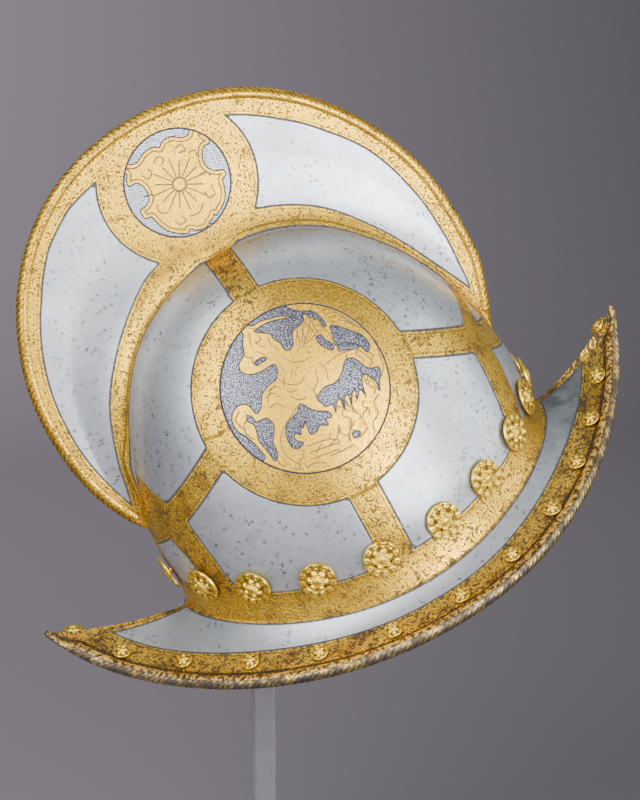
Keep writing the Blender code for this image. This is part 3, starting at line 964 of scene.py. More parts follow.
@dataclass
class SkullLayout:
    """Bands, spokes and medallion ring on the skull, on both sides alike."""

    medal_at: tuple = (-7.0, 71.7, 91.8)
    ring_outer: float = 61.0
    ring_inner: float = 45.0
    base_band: float = 17.5
    ring_middle: float = 53.0
    fillet_x: tuple = (-112.0, -104.0, -97.0, -90.0, -70.0, -48.0, -35.0, -15.0, 24.0, 55.0, 68.0,
                       92.0, 108.0)
    fillet_y: tuple = (8.5, 10.2, 12.9, 14.4, 13.7, 14.3, 13.7, 12.0, 11.8, 11.8, 12.2, 11.0, 8.5)
    rear_inner: tuple = ((11.0, 53.0), (30.0, 51.0), (56.0, 44.0), (67.0, 34.5), (82.6, 14.0),
                         (100.0, 0.0))
    rear_outer: tuple = ((8.5, 42.0), (34.0, 36.0), (51.0, 25.0), (63.0, 2.4), (70.0, -12.0))
    front_inner: tuple = ((22.0, 58.0), (36.0, 54.6), (57.0, 48.6), (70.0, 41.5), (86.0, 16.0),
                          (100.0, 6.0))
    front_outer: tuple = ((13.0, 47.0), (32.0, 43.0), (50.0, 36.0), (68.6, 25.0), (80.0, 10.0),
                          (90.0, -8.0))
    upper_spoke: tuple = (-8.0, 7.8)
    lower_spoke: tuple = (-6.7, 8.9)
    front_spoke: tuple = (54.5, 82.5, -0.576, 6.4)
    rear_spoke: tuple = (-66.0, 80.5, 0.70, 6.2)
    skull_arc: float = 100.0
    fillet_arc: float = 115.0
    # The upper spoke's heavy wear is partly real dark specks and partly painted shade under the comb's
    # flare
    wear: tuple = (("ring", 0.36), ("base", 0.48), ("fillet", 0.26), ("upper", 0.80),
                   ("rear_end", 0.62))
    other_wear: float = 0.50

    def band_between(self, points: np.ndarray, inner: tuple, outer: tuple) -> np.ndarray:
        """Distance inside an end band that runs down the skull between two curves."""
        y, z = np.abs(points[:, 1]), points[:, 2]
        near, far = np.array(inner), np.array(outer)
        return np.minimum(np.interp(z, near[:, 0], near[:, 1]) - y,
                          y - np.interp(z, far[:, 0], far[:, 1])) * 1.15

    def distances(self, points: np.ndarray) -> dict:
        """Signed distance of each gilt region, positive inside.

        Args:
            points: Points in millimetres of the helmet's frame.

        Returns:
            The distances by the region's name.
        """
        x, y, z = points[:, 0], np.abs(points[:, 1]), points[:, 2]
        medal = np.stack((x, y, z), axis=1) - np.array(self.medal_at)
        reach = np.linalg.norm(medal, axis=1)
        turn = np.arctan2(y / SKULL_HALF_WIDTH, x / SKULL_HALF_LENGTH)
        found = {
            "ring": self.ring_outer - reach,
            "base": self.base_band - (z - base_height(turn) / MM),
            "fillet": np.interp(x, self.fillet_x, self.fillet_y) - y,
        }
        front = self.band_between(points, self.front_inner, self.front_outer)
        rear = self.band_between(points, self.rear_inner, self.rear_outer)
        found["front_end"] = np.where(x > 0.0, front, FAR_OUT)
        found["rear_end"] = np.where(x < 0.0, rear, FAR_OUT)
        clear = reach > 0.9 * self.ring_outer
        for name, (middle, half), near in (("upper", self.upper_spoke, z > 90.0),
                                           ("lower", self.lower_spoke, z < 50.0)):
            found[name] = np.where(near & clear, half - np.abs(x - middle), FAR_OUT)
        for name, (start, height, slope, half), ahead in (("front", self.front_spoke, 1.0),
                                                          ("rear", self.rear_spoke, -1.0)):
            past = (x - start) * ahead > -8.0
            line = np.abs(z - height - slope * (x - start))
            found[name] = np.where(past & clear, half - line * 0.82, FAR_OUT)
        return found

    def marks(self, points: np.ndarray, turn: np.ndarray, rise: np.ndarray) -> tuple:
        """Gilt distance, flat coordinates and wear for skull points."""
        found = self.distances(points)
        names = list(found)
        table = np.stack([found[n] for n in names])
        best = table.argmax(axis=0)
        flat = flat_place(turn * self.skull_arc, rise)
        medal = points * (1.0, 0.0, 1.0) + (0.0, 1.0, 0.0) * np.abs(points[:, 1:2]) - self.medal_at
        reach = np.linalg.norm(medal, axis=1)
        ring = flat_place(np.arctan2(medal[:, 2], medal[:, 0]) * self.ring_middle, reach)
        angle = np.arctan2(points[:, 2] - PIVOT_Z / MM, points[:, 0])
        band = flat_place(angle * self.fillet_arc, points[:, 1])
        flat = np.where((found["ring"] > 0.0)[:, None], ring, flat)
        flat = np.where((best == names.index("fillet"))[:, None], band, flat)
        wear = dict(self.wear)
        worn = np.array([wear.get(name, self.other_wear) for name in names])[best]
        return table.max(axis=0), flat, worn


@dataclass
class CombLayout:
    """Edge band, fillet band and roundel ring on the comb's faces."""

    skull: SkullLayout = field(default_factory=SkullLayout)
    roundel_at: tuple = (-7.4, 208.4)
    ring_outer: float = 44.0
    ring_inner: float = 29.0
    band_from: tuple = (-4.0, 122.0)
    band_angle: tuple = (-60.0, -20.8, -14.1, -2.3, 12.2, 27.8, 40.7, 55.9, 69.6, 90.0, 111.0,
                         121.0, 132.5, 145.5, 161.0, 180.0, 200.0, 215.0)
    band_reach: tuple = (122.0, 120.0, 116.0, 112.1, 109.7, 109.1, 107.6, 108.4, 111.3, 114.0, 115.8,
                         119.4, 120.3, 118.2, 118.3, 119.0, 121.0, 124.0)
    fillet: tuple = ((-118.0, 40.0), (-111.0, 75.0), (-107.7, 92.5), (-97.0, 121.5), (-77.0, 148.0),
                     (-53.0, 168.5), (-37.0, 175.5), (-10.0, 183.0), (23.6, 175.5), (45.0, 165.7),
                     (59.5, 154.4), (72.6, 139.0), (84.3, 121.8), (95.0, 101.9), (107.5, 77.3),
                     (114.0, 60.0))
    below: tuple = ((114.0, -60.0), (-118.0, -60.0))
    foot_wear: float = 0.38
    upper_wear: float = 0.27

    def marks(self, points: np.ndarray) -> tuple:
        """Gilt distance, flat coordinates and wear for comb points in millimetres."""
        x, z = points[:, 0], points[:, 2]
        ring = self.ring_outer - np.hypot(x - self.roundel_at[0], z - self.roundel_at[1])
        dx, dz = x - self.band_from[0], z - self.band_from[1]
        turn = np.degrees(np.arctan2(dz, dx))
        turn = np.where(turn < -90.0, turn + 360.0, turn)
        edge = np.hypot(dx, dz) - np.interp(turn, self.band_angle, self.band_reach)
        curve = smooth_outline(self.fillet, closed=False)
        foot = area_distance(np.stack((x, z), axis=1), np.concatenate((curve, self.below)))
        spread = np.interp(x, self.skull.fillet_x, self.skull.fillet_y)
        foot = np.minimum(foot, spread - np.abs(points[:, 1]))
        upper = np.maximum(ring, edge)
        worn = np.where(foot > upper, self.foot_wear, self.upper_wear)
        return np.maximum(upper, foot), flat_place(x, z), worn


@dataclass
class BrimLayout:
    """Edge band and bare crescent on the brim, with a painted dark reflection towards the front tip."""

    edge_band: float = 15.5
    fold_strip: float = 1.6
    ridge_band: float = 3.4
    # Painted dark reflection: where it starts towards the front tip, and over how many millimetres it grows
    # to full strength
    painted_reflection_from: float = 80.0
    painted_reflection_span: float = 38.0
    wear: float = 0.85
    tip_wear: float = 0.25

    def marks(self, points: np.ndarray, from_fold: np.ndarray, from_edge: np.ndarray,
              along: np.ndarray) -> tuple:
        """Gilt distance, flat coordinates and wear for brim points in millimetres."""
        ridge = np.where(np.abs(points[:, 0]) > SKULL_HALF_LENGTH / MM - 4.0,
                         self.ridge_band - np.abs(points[:, 1]), FAR_OUT)
        band = self.edge_band - from_edge
        gilt = np.maximum(np.maximum(band, self.fold_strip - from_fold), ridge)
        recess = 0.95 * np.clip((2.9 - from_edge) / 0.8, 0.0, 1.0)
        tip = np.clip((np.abs(points[:, 0]) - 150.0) / 30.0, 0.0, 1.0)
        # Painted dark reflection growing towards the front tip: strong on the bare steel, faint on the gilt
        painted_reflection = np.clip((points[:, 0] - self.painted_reflection_from) / self.painted_reflection_span, 0.0, 1.0)
        recess = np.where(gilt > 0.0, np.maximum(recess, 0.32 * painted_reflection), 0.90 * painted_reflection)
        return gilt, flat_place(along, from_edge), self.wear + self.tip_wear * tip, recess


# Sub-assemblies


@dataclass
class ShellSkin:
    """Outside of the skull and brim in one fine sheet."""

    sections: int = 420
    skull_rows: int = 146
    brim_rows: int = 42
    layout: SkullLayout = field(default_factory=SkullLayout)
    brim: BrimLayout = field(default_factory=BrimLayout)

    def build(self) -> bpy.types.Object:
        """Wrap a grid round the skull and out over the brim.

        Returns:
            The skin.
        """
        rows = self.skull_rows + self.brim_rows
        obj, column, row = new_grid("helmet_skin", self.sections, rows)
        shares, sides = loop_share(self.sections)
        share, side = shares[column % self.sections], sides[column % self.sections]
        turn = turn_at(share, side)
        sweep = 0.5 * math.pi * np.clip(row / self.skull_rows, 0.0, 1.0)
        level = np.cos(sweep) ** (2.0 / FRONT_ROUNDNESS)
        level[row >= self.skull_rows] = 0.0
        on_brim = row > self.skull_rows
        out = np.clip((row - self.skull_rows) / self.brim_rows, 0.0, 1.0)
        points = np.where(on_brim[:, None], brim_point(share, side, out), skull_point(turn, level))
        self.mark(obj, points, turn, level, shares, sides, on_brim)
        place_points(obj, to_world(points))
        seal(obj, 28.0, recalc=False)
        middle = len(obj.data.polygons) // 2
        centre = obj.data.polygons[middle].center
        face_out(obj, middle, centre - (TO_WORLD @ Vector((0.0, 0.0, 0.05))))
        return obj

    def mark(self, obj: bpy.types.Object, points: np.ndarray, turn: np.ndarray, level: np.ndarray,
             shares: np.ndarray, sides: np.ndarray, on_brim: np.ndarray) -> None:
        """Keep the etched design's distances on the skin."""
        mm = points / MM
        rise = (points[:, 2] - base_height(turn)) / MM
        gilt, flat, worn = self.layout.marks(mm, turn, rise + 12.0 * level)
        edge = brim_point(shares, sides, np.ones_like(shares)) / MM
        fold = skull_point(turn_at(shares, sides), np.zeros_like(shares)) / MM
        run = run_along(edge)
        chosen = np.flatnonzero(on_brim)
        from_edge, from_fold, along = [], [], []
        for part in np.array_split(mm[chosen], 24):
            gaps = np.linalg.norm(part[:, None] - edge[None], axis=2)
            from_edge.append(gaps.min(axis=1))
            along.append(run[gaps.argmin(axis=1)])
            from_fold.append(np.linalg.norm(part[:, None] - fold[None], axis=2).min(axis=1))
        # Dark line along the rope, and the painted dark reflection towards the brim's front tip
        recess = np.zeros(len(mm))
        gilt[chosen], flat[chosen], worn[chosen], recess[chosen] = self.brim.marks(
            mm[chosen], np.concatenate(from_fold), np.concatenate(from_edge), np.concatenate(along))
        store(obj, gilt=gilt, flat=flat, worn=worn, recess=recess)

    def dress(self, obj: bpy.types.Object, finish: bpy.types.Material) -> None:
        """Give the skin its finish and put it in the shell's place."""
        hand_over(obj, "etched_steel", finish, "helmet_shell")


@dataclass
class CombSkin:
    """Outside of the comb: a flared foot on the skull, a thin web, its top inside the rope."""

    stations: int = 340
    flare_rows: int = 30
    web_rows: int = 22
    flare_share: float = 0.53
    foot_spread: float = 1.08
    layout: CombLayout = field(default_factory=CombLayout)

    def half_at(self, step: np.ndarray, tall: np.ndarray) -> np.ndarray:
        """Half thickness at a step from foot (0) to the web (1)."""
        foot = self.foot_spread * COMB_FOOT * np.minimum(1.0, 0.34 + tall / 0.045)
        return COMB_NECK + (foot - COMB_NECK) * (1.0 - step) ** 1.4

    def half_over(self, height: np.ndarray, tall: np.ndarray) -> np.ndarray:
        """Half thickness at a height over the skull."""
        step = np.clip(height / (self.flare_share * tall), 0.0, 1.0) ** (1.0 / 1.8)
        return self.half_at(step, tall)

    def build(self) -> bpy.types.Object:
        """Bend a grid over the comb from foot to foot.

        Returns:
            The skin.
        """
        half_rows = self.flare_rows + self.web_rows
        obj, column, row = new_grid("comb_skin", self.stations, 2 * half_rows)
        row = row - half_rows
        side = np.where(row < 0, -1.0, 1.0)
        climb = half_rows - np.abs(row)
        angle, tall, radius = (values[column] for values in comb_frame(self.stations))
        tall = np.maximum(tall, COMB_LEAST_RISE)
        step = np.clip(climb / self.flare_rows, 0.0, 1.0)
        web = np.clip((climb - self.flare_rows) / self.web_rows, 0.0, 1.0)
        flare_top = self.flare_share * tall
        height = np.where(web > 0.0, flare_top + (tall - 1.1 * radius - flare_top) * web,
                          flare_top * step ** 1.8 - 0.0001)
        half = np.where(row == 0, 0.0, self.half_at(step, tall))
        half = np.where((web > 0.93) & (row != 0), np.minimum(half, 0.8 * radius), half)
        points = comb_place(angle, side * half, height)
        gilt, flat, worn = self.layout.marks(points / MM)
        store(obj, gilt=gilt, flat=flat, worn=worn)
        place_points(obj, to_world(points))
        seal(obj, 40.0, recalc=False)
        sample = self.quarter_face(obj)
        centre = obj.data.polygons[sample].center
        face_out(obj, sample, Vector((0.0, centre.y, 0.0)))
        return obj

    def quarter_face(self, obj: bpy.types.Object) -> int:
        """Number of a face on one side of the web."""
        goal = TO_WORLD @ Vector((0.0, -COMB_NECK, 0.225))
        return min(range(0, len(obj.data.polygons), 7),
                   key=lambda i: (obj.data.polygons[i].center - goal).length)

    def dress(self, obj: bpy.types.Object, finish: bpy.types.Material) -> None:
        """Give the skin its finish."""
        hand_over(obj, "etched_steel", finish, "helmet_shell")


@dataclass
class RopedRims:
    """The twisted rims of comb and brim."""

    lead: float = 0.0245
    starts: int = 7
    groove: float = 0.15
    comb_stations: int = 980
    brim_stations: int = 1500
    around: int = 26
    fade_width: float = 0.35
    worn: float = 0.30

    def twist(self, obj: bpy.types.Object, column: np.ndarray, row: np.ndarray, centre: np.ndarray,
              radius: np.ndarray, out: np.ndarray, up: np.ndarray, fade: float) -> None:
        """Wrap a grid as a twisted round along a path.

        Args:
            obj: The grid.
            column: Number along the path of each point, which may run on past the path's end.
            row: Number round the rope of each point.
            centre: Path points.
            radius: Rope radius at each path point.
            out: Outward direction at each path point.
            up: Second direction square to the path.
            fade: Cosine from the outward direction past which the strands die away.
        """
        column = column % len(centre)
        run = run_along(centre)
        leads = max(1.0, round(run[-1] / self.lead))
        turn = 2.0 * math.pi * (row / self.around)
        wind = turn - 2.0 * math.pi * leads * run[column] / run[-1]
        crown = np.abs(np.cos(0.5 * self.starts * wind)) ** 0.8
        crown = 1.0 - (1.0 - crown) * np.clip((np.cos(turn) - fade) / self.fade_width, 0.0, 1.0)
        reach = radius[column] * (1.0 - self.groove * (1.0 - crown))
        points = (centre[column] + out[column] * (reach * np.cos(turn))[:, None]
                  + up[column] * (reach * np.sin(turn))[:, None])
        inner = np.clip((fade + self.fade_width - np.cos(turn)) / self.fade_width, 0.0, 1.0)
        store(obj, groove=1.0 - crown, inner=inner)
        place_points(obj, to_world(points))

    def build_comb(self) -> bpy.types.Object:
        """Rope along the comb's edge, its ends closed.

        Returns:
            The rope.
        """
        obj, column, row = new_grid("comb_rope", self.comb_stations, self.around)
        angles, tall, radius = comb_frame(self.comb_stations)
        centre = comb_place(angles, 0.0 * angles, tall - radius)
        out = np.stack((np.cos(angles), 0.0 * angles, np.sin(angles)), axis=1)
        along = unit(np.gradient(centre, axis=0))
        out = unit(out - along * (out * along).sum(axis=1, keepdims=True))
        up = np.broadcast_to((0.0, 1.0, 0.0), out.shape)
        self.twist(obj, column, row, centre, radius, out, up, 0.28)
        points = to_helmet(points_of(obj)) / MM
        groove = np.array([mark.value for mark in obj.data.attributes["groove"].data])
        store(obj, flat=flat_place(points[:, 0], points[:, 2]), gilt=ALL_GILT,
              worn=self.worn, recess=0.9 * groove)
        self.close_ends(obj)
        seal(obj, 60.0)
        return obj

    def build_brim(self) -> bpy.types.Object:
        """Rope right round the brim's edge.

        Returns:
            The rope.
        """
        obj, column, row = new_grid("brim_rope", self.brim_stations, self.around)
        share, side = loop_share(self.brim_stations)
        centre, radius, out, up = brim_frame(share, side)
        self.twist(obj, column, row, centre, radius, out, up, 0.05)
        seal(obj, 60.0)
        return obj

    def close_ends(self, obj: bpy.types.Object) -> None:
        """Cap an open rope's ends."""
        take(obj)
        bpy.ops.object.mode_set(mode="EDIT")
        bpy.ops.mesh.select_all(action="SELECT")
        bpy.ops.mesh.remove_doubles(threshold=WELD)
        bpy.ops.mesh.select_all(action="DESELECT")
        bpy.ops.mesh.select_non_manifold()
        bpy.ops.mesh.edge_face_add()
        bpy.ops.object.mode_set(mode="OBJECT")


@dataclass
class DrawnField:
    """A drawing's shapes in its own units, a fixed number of which make the field's radius."""

    radius_units: float
    ground: tuple
    lines: tuple

    def marks(self, points: np.ndarray) -> tuple:
        """Distance inside the gold figure, and distance from the engraved lines, in units."""
        gold = np.full(len(points), np.inf)
        for outline in self.ground:
            gold = np.minimum(gold, -area_distance(points, smooth_outline(outline, closed=True)))
        line = np.full(len(points), np.inf)
        for path in self.lines:
            line = np.minimum(line, path_distance(points, smooth_outline(path, closed=False)))
        return gold, line


def tongue(x: float, y: float, size: float, lean: float) -> tuple:
    """One engraved flame line: an S-bend this long from a point, leant from upright in degrees."""
    turn = math.radians(lean)
    bend = ((0.0, 0.0), (0.16, 0.28), (-0.04, 0.52), (-0.20, 0.74), (0.02, 1.0))
    return tuple((x + size * (u * math.cos(turn) - v * math.sin(turn)),
                  y + size * (u * math.sin(turn) + v * math.cos(turn))) for u, v in bend)


def flames() -> tuple:
    """Rows of tongues on the medallion's right that lean in towards the horse."""
    found = []
    for row in range(6):
        for n in range(5):
            x, y = 30.0 + 9.2 * n + 3.0 * (row % 2), -58.0 + 17.0 * row + 3.6 * n
            if math.hypot(x, y) < 74.0 and 30.0 + 9.2 * n > 26.0 + 5.5 * row:
                found.append(tongue(x, y, 15.0, 38.0 - 7.0 * n))
    return tuple(found)


def star_spot(reach: float, turn: float) -> tuple:
    """A point of the shield's star, this far from its middle at a turn in radians."""
    return 2.0 + reach * math.cos(turn), -2.0 + reach * math.sin(turn)


# Rider on a rearing horse before flames: the ground between, and the engraved lines
RIDER = DrawnField(
    radius_units=84.0,
    ground=(
        ((-54, 66), (-46, 74), (-36, 80), (-25, 84), (-16, 82), (-9, 78), (-2, 76), (3, 73), (-2, 70),
         (-11, 71), (-20, 72), (-30, 70), (-40, 68), (-48, 64)),
        ((-47, 58), (-40, 63), (-30, 67), (-18, 69), (-8, 70), (1, 70), (2, 66), (-3, 61), (-9, 57),
         (-10, 50), (-10, 42), (-15, 37), (-19, 39), (-22, 44), (-25, 47), (-29, 50), (-31, 54), (-38, 56)),
        ((-59, 58), (-59, 46), (-58, 36), (-61, 31), (-64, 26), (-62, 19), (-56, 16), (-49, 16),
         (-42, 18), (-35, 22), (-29, 24), (-27, 18), (-28, 10), (-33, 6), (-39, 1), (-43, -5), (-44, -12),
         (-45, -18), (-49, -23), (-53, -19), (-57, -14), (-63, -13), (-69, -16), (-73, -23), (-73, -31),
         (-68, -39), (-60, -45), (-52, -53), (-46, -61), (-43, -65), (-48, -72), (-60, -72), (-80, -58),
         (-94, -32), (-98, 0), (-92, 34), (-74, 58)),
        ((-59, -24), (-54, -26), (-50, -31), (-44, -29), (-40, -28), (-34, -33), (-33, -39), (-34, -46),
         (-35, -52), (-32, -59), (-31, -66), (-34, -70), (-38, -64), (-42, -58), (-48, -50), (-50, -42),
         (-52, -34), (-58, -30)),
        ((28, 60), (36, 59), (44, 56), (51, 53), (58, 50), (63, 45), (66, 38), (63, 32), (59, 36),
         (54, 40), (46, 42), (38, 42), (32, 40), (30, 48)),
        ((13, 49), (18, 51), (22, 46), (27, 43), (30, 39), (28, 35), (22, 38), (17, 41), (14, 45)),
        ((40, 24), (46, 27), (53, 24), (58, 19), (65, 16), (73, 17), (75, 11), (73, 2), (73, -7), (70, 2),
         (66, 6), (60, 10), (56, 8), (56, 0), (58, -10), (53, -4), (50, -14), (48, -4), (45, -9), (44, -20),
         (41, -9), (37, -13), (37, -24), (33, -13), (29, -17), (28, -26), (25, -18), (19, -20), (14, -16),
         (10, -11), (14, -5), (20, 0), (27, 2), (33, 7), (37, 15)),
        ((1, 75), (7, 76), (13, 74), (18, 70), (22, 65), (24, 60), (21, 60), (18, 65), (15, 68), (13, 66),
         (11, 70), (8, 68), (6, 72)),
        ((-7, -16), (-2, -18), (4, -22), (12, -24), (20, -25), (24, -30), (18, -32), (20, -38), (12, -38),
         (8, -44), (2, -46), (-1, -38), (-3, -33), (-5, -40), (-8, -36), (-7, -46), (-12, -44), (-14, -48),
         (-11, -52), (-5, -54), (-10, -59), (-16, -58), (-20, -52), (-22, -44), (-21, -36), (-16, -30),
         (-10, -24)),
        ((-49, 27), (-45, 30), (-39, 32), (-37, 29), (-43, 26), (-46, 24)),
        ((34, 40), (40, 42), (50, 41), (56, 38), (50, 36), (40, 35), (35, 34)),
        ((43, -48), (46, -45), (51, -46), (50, -50), (45, -52)),
    ),
    lines=(
        ((-9, -18), (-15, -26), (-22, -36), (-27, -46), (-27, -56), (-22, -66), (-16, -71), (-11, -75)),
        ((-20, -74), (-16, -79), (-9, -78), (-10, -73), (-6, -67), (-7, -61), (-12, -58)),
        ((-45, -48), (-40, -56), (-34, -59), (-32, -70), (-25, -76)),
        ((34, -12), (38, -17), (44, -22), (48, -25)), ((28, -20), (35, -22), (42, -26)),
        ((52, 17), (56, 12), (58, 7), (60, 0)), ((66, 8), (68, 0), (72, -6)),
        ((21, 22), (27, 26), (34, 31), (44, 34), (52, 36), (58, 32), (64, 27), (68, 22)),
        ((-61, 43), (-59, 36), (-54, 32), (-50, 32), (-50, 26), (-42, 30)),
        ((-52, 56), (-51, 43)), ((-48, 48), (-42, 43), (-37, 42)), ((-46, 38), (-38, 34), (-33, 28)),
        ((4, 62), (8, 60), (10, 57)), ((16, 56), (8, 48), (-4, 38)), ((-6, 56), (-3, 46), (-6, 36)),
        ((-2, 60), (2, 50), (0, 40)), ((-23, 22), (-20, 12), (-22, 2), (-16, -4), (-9, -2)),
        ((-27, 10), (-18, 4), (-6, 4), (0, 12)), ((-30, 4), (-36, -4), (-38, -14)),
        ((10, 16), (12, 6), (8, -2)), ((-12, 20), (-14, 12)), ((-8, 20), (-10, 12)),
        ((72, -10), (66, -18), (70, -28), (64, -38), (66, -46)),
        ((60, -22), (54, -32), (58, -42), (50, -52)),
        ((46, -36), (40, -46), (42, -56)), ((30, -38), (28, -50), (20, -58)), ((12, -56), (6, -66)),
        ((76, 28), (78, 18), (76, 8)), ((70, 44), (74, 36), (75, 28)),
        ((30, 76), (40, 70), (50, 62), (60, 56)),
        ((36, 66), (44, 64), (52, 60)), ((20, -68), (32, -64), (44, -58)),
        ((-4, -78), (8, -74), (18, -76)),
        ((-3, 71), (-9, 62), (-10, 51)), ((1, 71), (-4, 61), (-6, 49)), ((5, 69), (1, 58), (-1, 44)),
        ((9, 67), (6, 57), (3, 47)), ((0, 72), (3, 77), (6, 72), (9, 77), (12, 70)),
        ((12, 70), (19, 62), (25, 54), (30, 45), (29, 41), (24, 42), (20, 46)),
        ((14, 60), (17, 61), (20, 58)),
        ((10, 56), (14, 50), (20, 47)), ((26, 47), (28, 46)), ((10, 66), (14, 56), (19, 50)),
        ((-20, 30), (-12, 26), (-2, 26), (8, 30)), ((-24, 26), (-26, 16), (-22, 10)),
        ((-38, -2), (-30, 2), (-24, 0)), ((-40, -8), (-32, -4), (-26, -8)),
        ((-36, -18), (-28, -14), (-22, -20)),
        ((0, 2), (8, -4), (10, -12)), ((14, 24), (20, 18), (22, 8)), ((-16, -8), (-8, -12), (0, -10)),
        ((-57, -27), (-62, -33), (-60, -42), (-53, -48)), ((-66, -20), (-70, -28), (-64, -36)),
        ((-52, 62), (-44, 60), (-36, 56)), ((-44, 56), (-41, 50), (-46, 46)),
        ((-34, 50), (-30, 42), (-24, 38)),
        ((0, -64), (14, -60), (28, -56)), ((4, -70), (16, -66), (30, -62)),
        ((-2, -58), (10, -54), (20, -52)),
    ) + flames(),
)

# Strapwork shield: the ground round it, and a rayed star on it
SHIELD = DrawnField(
    radius_units=54.5,
    ground=(
        ((-50, 20), (-48, 27), (-41, 38), (-31, 47), (-20, 53), (-7, 57), (3, 57), (11, 54), (12, 49),
         (9, 46), (3, 45), (-5, 46), (-11, 44), (-16, 40), (-18, 35), (-23, 36), (-29, 34), (-35, 29),
         (-40, 22), (-45, 19)),
        ((26, 48), (32, 44), (33, 39), (29, 37), (26, 33), (26, 23), (29, 16), (35, 12), (42, 11),
         (47, 12), (50, 7), (47, 4), (46, 1), (48, -7), (48, -17), (44, -26), (39, -33), (36, -32),
         (35, -36), (31, -41), (40, -41), (51, -27), (59, -7), (59, 11), (53, 28), (43, 41), (34, 50)),
        ((-57, 11), (-51, 9), (-52, 3), (-49, -3), (-45, -1), (-40, 0), (-34, -4), (-30, -11), (-29, -17),
         (-32, -23), (-38, -27), (-36, -32), (-33, -36), (-27, -34), (-24, -37), (-17, -44), (-9, -49),
         (1, -51), (10, -51), (11, -47), (19, -48), (27, -46), (30, -43), (24, -56), (9, -60), (-12, -58),
         (-30, -50), (-47, -33), (-58, -13), (-60, 3)),
    ),
    lines=tuple(
        tuple(star_spot(reach, math.radians(22.5 * n)) for reach in (6.0, 15.0, 24.0 + 4.0 * (n % 2)))
        for n in range(16)
    ) + (
        tuple(star_spot(7.0, 0.5 * n) for n in range(14)),
        ((-24, 20), (-20, 26), (-14, 24), (-16, 18)), ((20, 26), (18, 32), (12, 30)),
        ((-22, -22), (-18, -30), (-10, -30)), ((26, -20), (22, -30), (12, -34)),
        ((-36, 8), (-30, 4), (-26, 10), (-30, 14)), ((34, -4), (38, -12), (32, -16), (28, -10)),
        ((-2, 34), (4, 38), (8, 32), (2, 30)), ((-4, -38), (2, -42), (8, -38), (4, -34)),
        ((-34, -14), (-26, -12), (-24, -18)), ((34, 6), (30, 10), (24, 8)),
    ),
)


@dataclass
class Medallion:
    """Round picture on each side of the skull, a thin plate let into the shell."""

    radius: float = 46.8
    cells: int = 150
    proud: float = 0.09
    plate: float = 0.5
    lift: float = 1.2
    worn: float = 0.34
    layout: SkullLayout = field(default_factory=SkullLayout)

    def axes(self) -> tuple:
        """Centre on the skull, and right, up and outward directions of the picture."""
        centre = np.array(self.layout.medal_at) * (1.0, -1.0, 1.0) * MM
        step = 1e-4
        slope = [inside_skull(centre + step * np.eye(3)[i]) - inside_skull(centre - step * np.eye(3)[i])
                 for i in range(3)]
        outward = unit(np.array(slope))
        right = np.array((math.cos(LEAN), 0.0, -math.sin(LEAN)))
        right = unit(right - outward * (right @ outward))
        return centre, right, np.cross(outward, right), outward

    def build(self, side: Side, picture: tuple) -> bpy.types.Object:
        """Lay a round grid on the skull and draw the picture on it.

        Args:
            side: The side of the helmet.
            picture: Distances inside the figure and from its lines, from draw().

        Returns:
            The plate.
        """
        obj, spots = round_grid(f"medallion_{side.name.lower()}", self.cells, self.radius)
        points = self.on_skull(spots)
        centre, _, up, outward = self.axes()
        reach = np.linalg.norm(points - centre, axis=1) / MM
        figure, line = picture
        layout = self.layout
        ring = flat_place(np.arctan2(spots[:, 1], spots[:, 0]) * layout.ring_middle, reach)
        middle = centre + up * self.lift * MM
        within = layout.ring_inner - np.linalg.norm(points - middle, axis=1) / MM
        flat = np.where((within > 0.0)[:, None], flat_place(spots[:, 0], spots[:, 1]), ring)
        store(obj, gilt=layout.ring_outer - reach, flat=flat, figure=figure, engraved=line,
              field=within, worn=self.worn)
        points = points + outward * self.proud * MM
        points[:, 1] *= -side.value
        place_points(obj, to_world(points))
        face_out(obj, len(obj.data.polygons) // 2, Vector((0.0, side.value, 0.0)))
        thicken(obj, self.plate * MM)
        seal(obj, 60.0)
        return obj

    def on_skull(self, spots: np.ndarray) -> np.ndarray:
        """Picture places dropped on to the skull's outside."""
        centre, right, up, outward = self.axes()
        plane = centre + MM * (spots[:, :1] * right + spots[:, 1:] * up)
        drop = surface_at(lambda reach: plane + reach[:, None] * outward, len(spots), -0.04, 0.01, 34)
        return plane + drop[:, None] * outward

    def draw(self) -> tuple:
        """The picture's distances in millimetres, for the disc's points."""
        obj, spots = round_grid("drawing_board", self.cells, self.radius)
        bpy.data.objects.remove(obj)
        unit_size = self.layout.ring_inner / RIDER.radius_units
        gold, line = RIDER.marks((spots - (0.0, self.lift)) / unit_size)
        return gold * unit_size, line * unit_size


